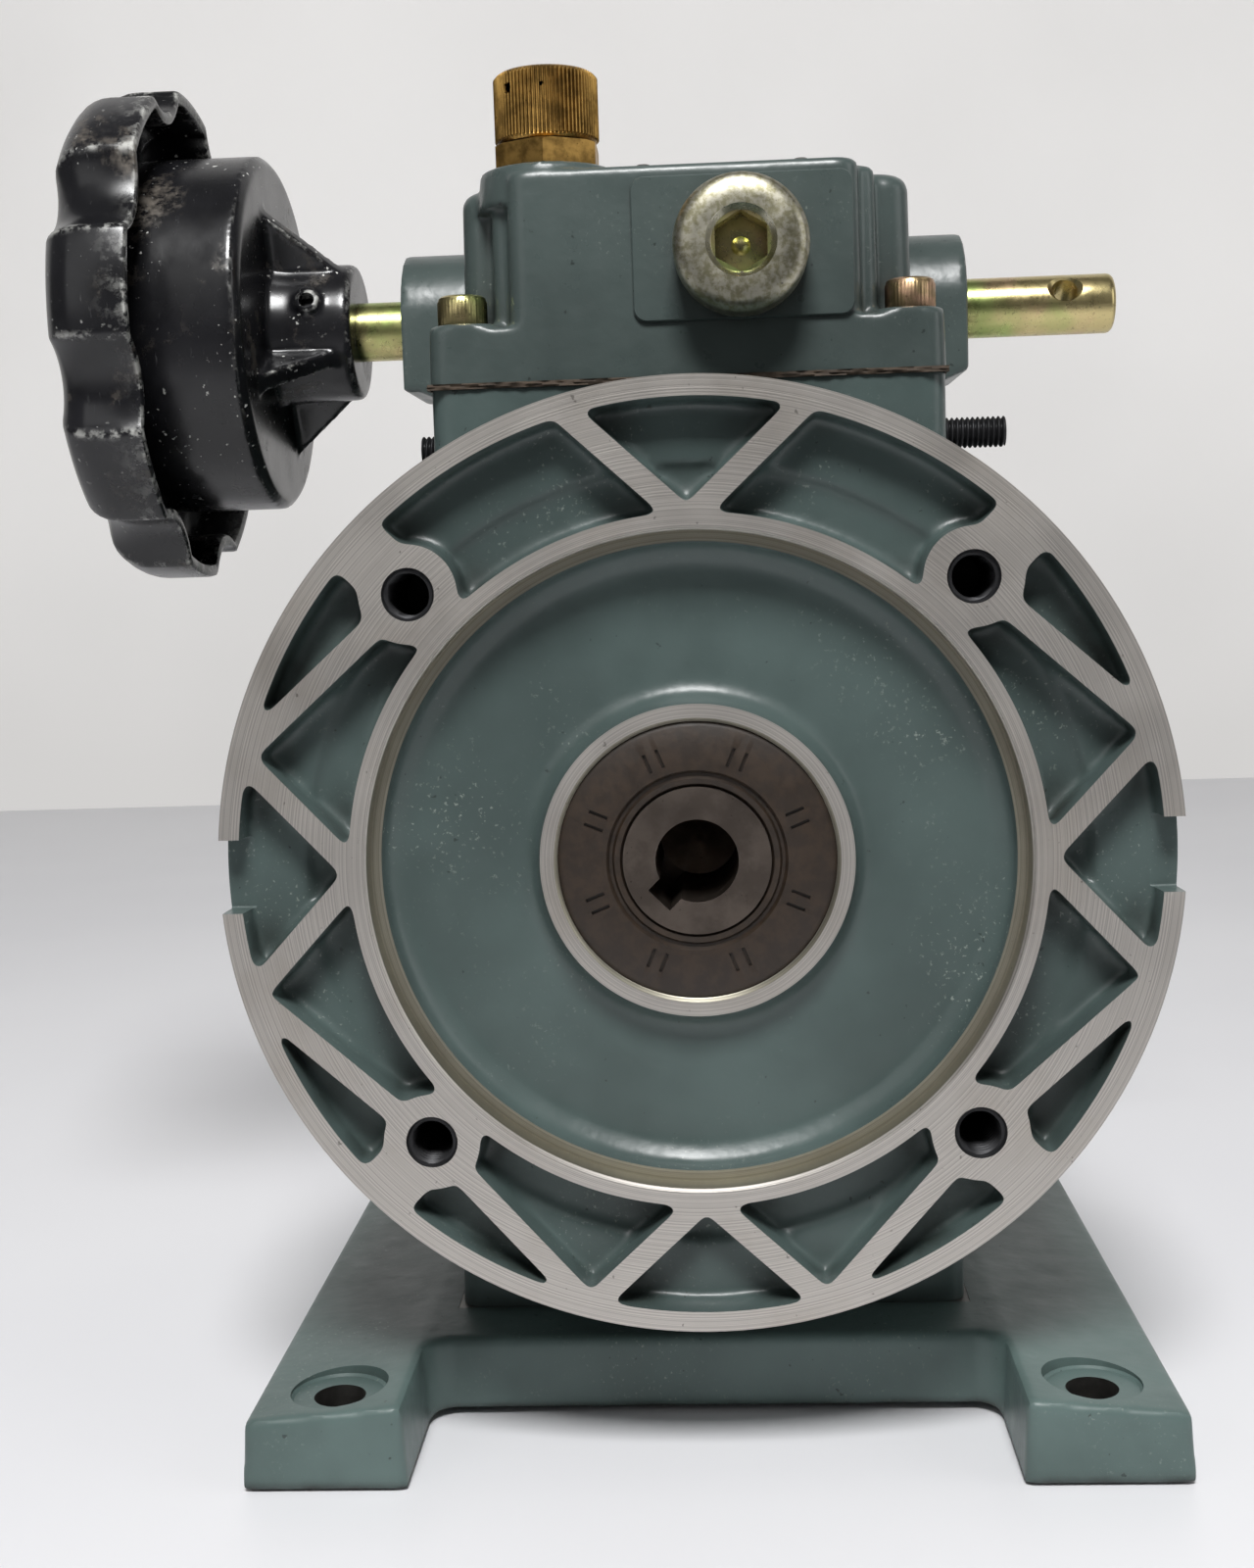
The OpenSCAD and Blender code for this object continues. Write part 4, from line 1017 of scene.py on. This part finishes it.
def studs():
    for node, x0, x1, end in (("stop_stud_left", -53, -18, -1), ("stop_stud_right", 17.6, 61.5, 1)):
        place = (0, FACE_Y + STUD_DEPTH, AXIS_Z + STUD_H)
        obj = thread_rod(3.0, 2.5, 1.0, x0, x1, "X", place)
        tip = x1 if end > 0 else x0
        lo, hi = sorted((tip - end * 4, tip + end))
        cut(obj, loft([(lo, hexagon(3.0)), (hi, hexagon(3.0))], "X", place))
        publish(obj, node + "_thread", "housing", [node], [BLACK_STEEL], sharp=50)


def breather():
    place = (BREATHER_AT[0], FACE_Y + BREATHER_AT[1], AXIS_Z)
    foot, top = BREATHER_H + 0.02, BREATHER_H + 4.87
    base = revolve([(0, 110), (6, 110), (6, foot), (9.2, foot), (9.2, top), (5.5, top), (5.5, 136), (0, 136)],
                   "Z", place, 64)
    flats = revolve([(0, foot), (9.9, foot), (10.75, BREATHER_H + 0.5), (10.75, BREATHER_H + 4.4),
                     (9.9, top), (0, top)], "Z", place, 96)
    corner = hexagon(18.5, 0.5)
    keep_inside(flats, loft([(BREATHER_H - 1, corner), (BREATHER_H + 6, corner)], "Z", place))
    weld(base, flats)
    publish(base, "breather_base", "housing", ["breather_body"], [BRASS])
    ribs, low, high = 76, BREATHER_H + 5.2, BREATHER_H + 17.9
    count = ribs * 6
    skin = knurl(9.75, 0.55, ribs, 6)
    sections = [(low, circle_points(9.0, count)), (low + 0.45, circle_points(9.3, count)),
                (low + 0.75, skin), (high - 0.9, skin),
                (high - 0.35, circle_points(9.25, count)), (high, circle_points(8.7, count))]
    cap = loft(sections, "Z", place)
    hollow = rod(0, 0, 5.6, low - 1, high - 4, "Z", place)
    vent_z = AXIS_Z + high - 3.5
    cx, cy = place[0], place[1]

    def vent(turn, r):
        way = (math.sin(math.radians(turn)), -math.cos(math.radians(turn)), 0)
        return rod(0, 0, r, 3, 12, way, (cx, cy, vent_z), 32)

    cut(cap, hollow, vent(-42, 1.0), vent(0, 0.4))
    publish(cap, "breather_knurled_cap", "housing", ["breather_cap"], [BRASS], sharp=30)


def nameplate():
    """Blank aluminium plate with a raised border and empty fields."""
    place = (7.5, FACE_Y + 78, AXIS_Z + BOX_TOP + 0.02)
    obj = loft([(0, round_rect_points(35, 60, 2)), (0.8, round_rect_points(35, 60, 2))], "Z", place)
    fields = []
    for y, h in ((-17, 16), (2, 14), (18, 12)):
        shape = round_rect_points(27, h, 1, y=y)
        fields.append(loft([(0.62, shape), (1, shape)], "Z", place))
    pins = [rod(x, y, 1.1, -1, 2, "Z", place, 24) for x in (-14.5, 14.5) for y in (-27, 27)]
    cut(obj, *fields, *pins)
    publish(obj, "blank_nameplate", "housing", ["nameplate"], [ALUMINIUM])


# ------------ seal seen in the motor flange
def input_seal():
    obj = revolve([
        (12.56, 6.4), (13.0, 5.9), (13.9, 5.75), (14.3, 6.3), (14.8, 6.3), (15.3, 5.55), (22.6, 5.5),
        (23.46, 6.0), (23.46, 12.4), (16, 12.4), (16, 9.5), (14, 9.5), (13.2, 12), (12.56, 11.4)], steps=160)
    marks = []
    for k in range(8):
        for off in (-1.15, 1.15):
            a = math.radians(22 + 45 * k)
            way = Vector((math.cos(a), math.sin(a)))
            side = Vector((-way.y, way.x))
            ends = [way * 16.6 + side * (off - 0.28), way * 19.9 + side * (off - 0.28),
                    way * 19.9 + side * (off + 0.28), way * 16.6 + side * (off + 0.28)]
            marks.append(loft([(4, ends), (5.95, ends)]))
    cut(obj, *marks)
    publish(obj, "motor_side_seal", "housing", ["input_seal"], [RUBBER])


# ------------ spindle and handwheel
WHEEL_X = (-121.0, -103.6, -86.0, -69.0)
WHEEL_R = 50.0
SCALLOPS = 8
SCALLOP_DEPTH = 4.5
SCALLOP_R = 13.2
SCALLOP_AT = 28.5
RIM_ROUND = 8.5
RIM_WALL = 2.7
DRUM_R = 36.0
COLLAR_X = -77.3
COLLAR_WAY = (0, -math.cos(math.radians(20)), math.sin(math.radians(20)))


def spindle():
    obj = revolve([
        (0, -85.9), (5.6, -85.9), (6, -85.5), (6, 54.6), (5.4, 54.6), (5.4, 55.8), (6, 55.8), (6, 86.0),
        (5.85, 86.6), (5.4, 87.1), (4.9, 87.3), (0, 87.3)], "X", SPINDLE, 96)
    way = (0, -0.883, 0.469)
    place = (77, SPINDLE_Y, SPINDLE_Z)
    cross = rod(0, 0, 2.6, -12, 12, way, place, 48)
    funnel = [(0, 5.0), (2.6, 5.0), (3.7, 6.1), (3.7, 9), (0, 9)]
    mouths = [revolve([(r, s * a) for r, a in funnel], way, place, 48) for s in (-1, 1)]
    cut(obj, cross, *mouths)
    publish(obj, "spindle_bar", "control_wheel", ["control_spindle"], [SPINDLE_ZINC])


def rim_radius(angle):
    centre = WHEEL_R - SCALLOP_DEPTH + SCALLOP_R
    step = 360 / SCALLOPS
    a = math.radians((angle - SCALLOP_AT + step / 2) % step - step / 2)
    inside = SCALLOP_R ** 2 - (centre * math.sin(a)) ** 2
    r = centre * math.cos(a) - math.sqrt(inside) if inside > 0 else WHEEL_R + 5
    soft = 0.22
    return -soft * math.log(math.exp(-(r - WHEEL_R) / soft) + 1) + WHEEL_R


def rim_section(r):
    x0, x1 = WHEEL_X[0], WHEEL_X[1]
    turn = x0 + RIM_ROUND
    inner = RIM_ROUND - RIM_WALL
    points = [(r - 0.8, x1), (r - 0.2, x1 - 0.3), (r, x1 - 1.0)]
    for i in range(9):
        a = math.pi / 2 * i / 8
        points.append((r - RIM_ROUND + RIM_ROUND * math.cos(a), turn - RIM_ROUND * math.sin(a)))
    points += [(36.4, x0), (33.0, x0), (33.0, x0 + 4.0), (35.8, x0 + 4.0), (36.5, x0 + 3.0)]
    for i in range(8, -1, -1):
        a = math.pi / 2 * i / 8
        points.append((r - RIM_ROUND + inner * math.cos(a), turn - inner * math.sin(a)))
    points += [(r - RIM_WALL, x1 - 1.0), (r - RIM_WALL + 0.3, x1 - 0.3), (r - 1.7, x1)]
    return points


def rim():
    """The lobed skirt, swept section by section around the spindle."""
    along, u, v = across("X")
    o = Vector(SPINDLE)
    steps = 432
    verts, faces = [], []
    for i in range(steps):
        angle = 360 * i / steps
        way = u * math.cos(math.radians(angle)) + v * math.sin(math.radians(angle))
        verts += [o + way * r + along * x for r, x in rim_section(rim_radius(angle))]
    n = len(verts) // steps
    for i in range(steps):
        j = (i + 1) % steps
        for k in range(n):
            m = (k + 1) % n
            faces.append([i * n + k, i * n + m, j * n + m, j * n + k])
    return new_object("rim", verts, faces)


def gusset(angle):
    a = math.radians(angle)
    way = Vector((0, -math.cos(a), math.sin(a)))
    side = Vector((0, math.sin(a), math.cos(a)))
    verts = []
    for s in (-1, 1):
        for x, r, t in ((-88, 8, 2.2), (-88, 28.5, 1.9), (-71.8, 13.9, 1.7), (-71.8, 8, 1.9)):
            verts.append(Vector(SPINDLE) + Vector((x, 0, 0)) + way * r + side * (s * t))
    faces = [(0, 1, 2, 3), (4, 7, 6, 5), (0, 4, 5, 1), (1, 5, 6, 2), (2, 6, 7, 3), (3, 7, 4, 0)]
    return new_object("gusset", verts, faces)


def handwheel():
    solids = [
        revolve([(0, -126), (DRUM_R + 0.1, -126), (DRUM_R + 0.1, -87.4), (DRUM_R - 1.6, WHEEL_X[2]),
                 (0, WHEEL_X[2])], "X", SPINDLE, 160),
        revolve([(0, -90), (15.2, -90), (14.2, -82), (13.9, -69.9), (13.4, -68.9), (0, -68.9)], "X",
                SPINDLE, 96),
        rod(0, 0, 2.6, 0, 15.2, COLLAR_WAY, (COLLAR_X, SPINDLE_Y, SPINDLE_Z)),
    ]
    solids += [gusset(a) for a in (62, -28, -118, 152)]
    obj = cast(solids, 0.62, 5, 120000)
    cut(obj, rod(0, 0, 32.4, -130, -92, "X", SPINDLE, 128),
        block((-150, WHEEL_X[0]), (-80, 80), (-80, 80), SPINDLE))
    weld(obj, rim())
    cut(obj, rod(0, 0, 6.05, -86, -60, "X", SPINDLE, 64),
        rod(0, 0, 1.6, 2, 18, COLLAR_WAY, (COLLAR_X, SPINDLE_Y, SPINDLE_Z), 32))
    publish(obj, "lobed_handwheel", "control_wheel", ["handwheel"], [PLASTIC], sharp=40)


def dial():
    """Dial disc with ticks, its weight behind it."""
    obj = revolve([(2.1, -111), (28.7, -111), (29, -110.8), (29, -110), (2.1, -110)], "X", SPINDLE, 128)
    ticks = []
    for k in range(50):
        long = 6.0 if k % 5 == 0 else 3.2
        a = math.radians(7.2 * k)
        way = Vector((math.cos(a), math.sin(a)))
        side = Vector((-way.y, way.x))
        w = 0.36 if k % 5 == 0 else 0.2
        inner, outer, off = way * (27.6 - long), way * 27.6, side * w
        ends = [inner - off, outer - off, outer + off, inner + off]
        ticks.append(loft([(-111.08, ends), (-110.5, ends)], "X", SPINDLE))
    weld(obj, *ticks)
    weight = revolve([(2.1, -110.2), (27, -110.2), (27, -99), (2.1, -99)], "X", SPINDLE, 96)
    cut(weight, block((-130, -60), (-80, 80), (-3, 60), SPINDLE))
    weld(obj, weight)

    def rule(c, n):
        return np.where(c[:, 0] < -111.02, 1, 0)

    publish(obj, "indicator_dial_face", "dial", ["indicator_dial"], [DIAL, INK], rule=rule)


input_flange()
base_foot()
main_housing()
output_cover()
control_cover()
cover_gasket()
screws()
plugs()
studs()
breather()
nameplate()
input_seal()
spindle()
handwheel()
dial()


# ------------ finish of the CAD nodes that stay
for part in frame["record"]["subparts"]:
    node = frame["nodes"][part["node"]]
    node.data.materials.clear()
    node.data.materials.append(NODE_LOOK.get(part["node"], SLOT_LOOK[part["material_slot"]]))

# ------------ room, light and camera


WALL_GLOW = 0.64


def room():
    k = Look("pale_floor")
    colour = k.mix(k.band(k.noise(3, 3), 0.3, 0.7), (0.70, 0.70, 0.725), (0.75, 0.75, 0.77))
    # The front of the floor is dark to all but camera rays: a hidden dark sheet that throws back less light,
    # so the shade on the object is deeper.
    near = k.band(k.axes()[1], -0.55, -0.17)
    seen = k.tree.nodes.new("ShaderNodeLightPath").outputs["Is Camera Ray"]
    colour = k.mix(k.math("MAXIMUM", near, seen), (0.20, 0.20, 0.21), colour)
    k.bump(k.noise(60, 3), 0.1, 0.0004)
    floor_look = k.set(Base_Color=colour, Roughness=0.42)
    w = Look("pale_wall")
    tone = w.mix(w.band(w.noise(1.5, 3), 0.3, 0.7), (0.60, 0.59, 0.58), (0.66, 0.65, 0.64))
    # The wall glows in its own tone: painted light for a lit backdrop, which also throws light on the back of
    # the scene.
    wall_look = w.set(Base_Color=tone, Roughness=0.9, Emission_Color=tone, Emission_Strength=WALL_GLOW)
    floor = new_object("floor", [(-3, -2.5, 0), (3, -2.5, 0), (3, 0.95, 0), (-3, 0.95, 0)], [(0, 1, 2, 3)])
    floor.data.materials.append(floor_look)
    wall = new_object("wall", [(-4, 1.35, -1), (4, 1.35, -1), (4, 1.35, 3), (-4, 1.35, 3)], [(0, 1, 2, 3)])
    wall.data.materials.append(wall_look)


def lamp(name, place, target, size, power, colour=(1, 1, 1)):
    data = bpy.data.lights.new(name, "AREA")
    data.shape = "RECTANGLE"
    data.size, data.size_y = size
    data.energy = power
    data.color = colour
    obj = bpy.data.objects.new(name, data)
    scene.collection.objects.link(obj)
    obj.location = place
    obj.rotation_euler = (Vector(target) - Vector(place)).to_track_quat("-Z", "Y").to_euler()
    return obj


def camera():
    """Lens and viewpoint: 308 mm in front of the motor face, a little above the shaft."""
    data = bpy.data.cameras.new("camera")
    data.sensor_width = 36
    data.lens = 43.43
    data.clip_start = 0.01
    obj = bpy.data.objects.new("camera", data)
    scene.collection.objects.link(obj)
    down, turn, roll = math.radians(6.23), math.radians(-2.98), math.radians(-1.87)
    ahead = Vector((math.sin(turn) * math.cos(down), math.cos(turn) * math.cos(down), -math.sin(down)))
    level = Vector((math.cos(turn), -math.sin(turn), 0))
    top = level.cross(ahead)
    right = math.cos(roll) * level + math.sin(roll) * top
    up = -math.sin(roll) * level + math.cos(roll) * top
    place = Vector((5.0, FACE_Y - 308.4, AXIS_Z + 47.6)) * MM
    matrix = Matrix((right, up, -ahead)).transposed().to_4x4()
    matrix.translation = place
    obj.matrix_world = matrix
    scene.camera = obj


room()
lamp("key", (0.0, -0.78, 1.16), (0, 0, 0.12), (0.40, 0.36), 21)
lamp("front_left", (-0.9, -1.2, 0.8), (0, 0, 0.1), (0.9, 0.9), 2)
lamp("right_window", (1.3, -0.5, 0.6), (0, 0, 0.12), (0.7, 1.0), 3)
world = bpy.data.worlds.new("world")
world.use_nodes = True
backdrop = world.node_tree.nodes["Background"]
backdrop.inputs["Color"].default_value = (0.90, 0.90, 0.91, 1)
light_path = world.node_tree.nodes.new("ShaderNodeLightPath")
strength = world.node_tree.nodes.new("ShaderNodeMath")
strength.operation = "MULTIPLY_ADD"
strength.inputs[1].default_value = 0.68
strength.inputs[2].default_value = 0.09
world.node_tree.links.new(light_path.outputs["Is Camera Ray"], strength.inputs[0])
world.node_tree.links.new(strength.outputs[0], backdrop.inputs["Strength"])
scene.world = world
scene.view_settings.view_transform = "Standard"
camera()
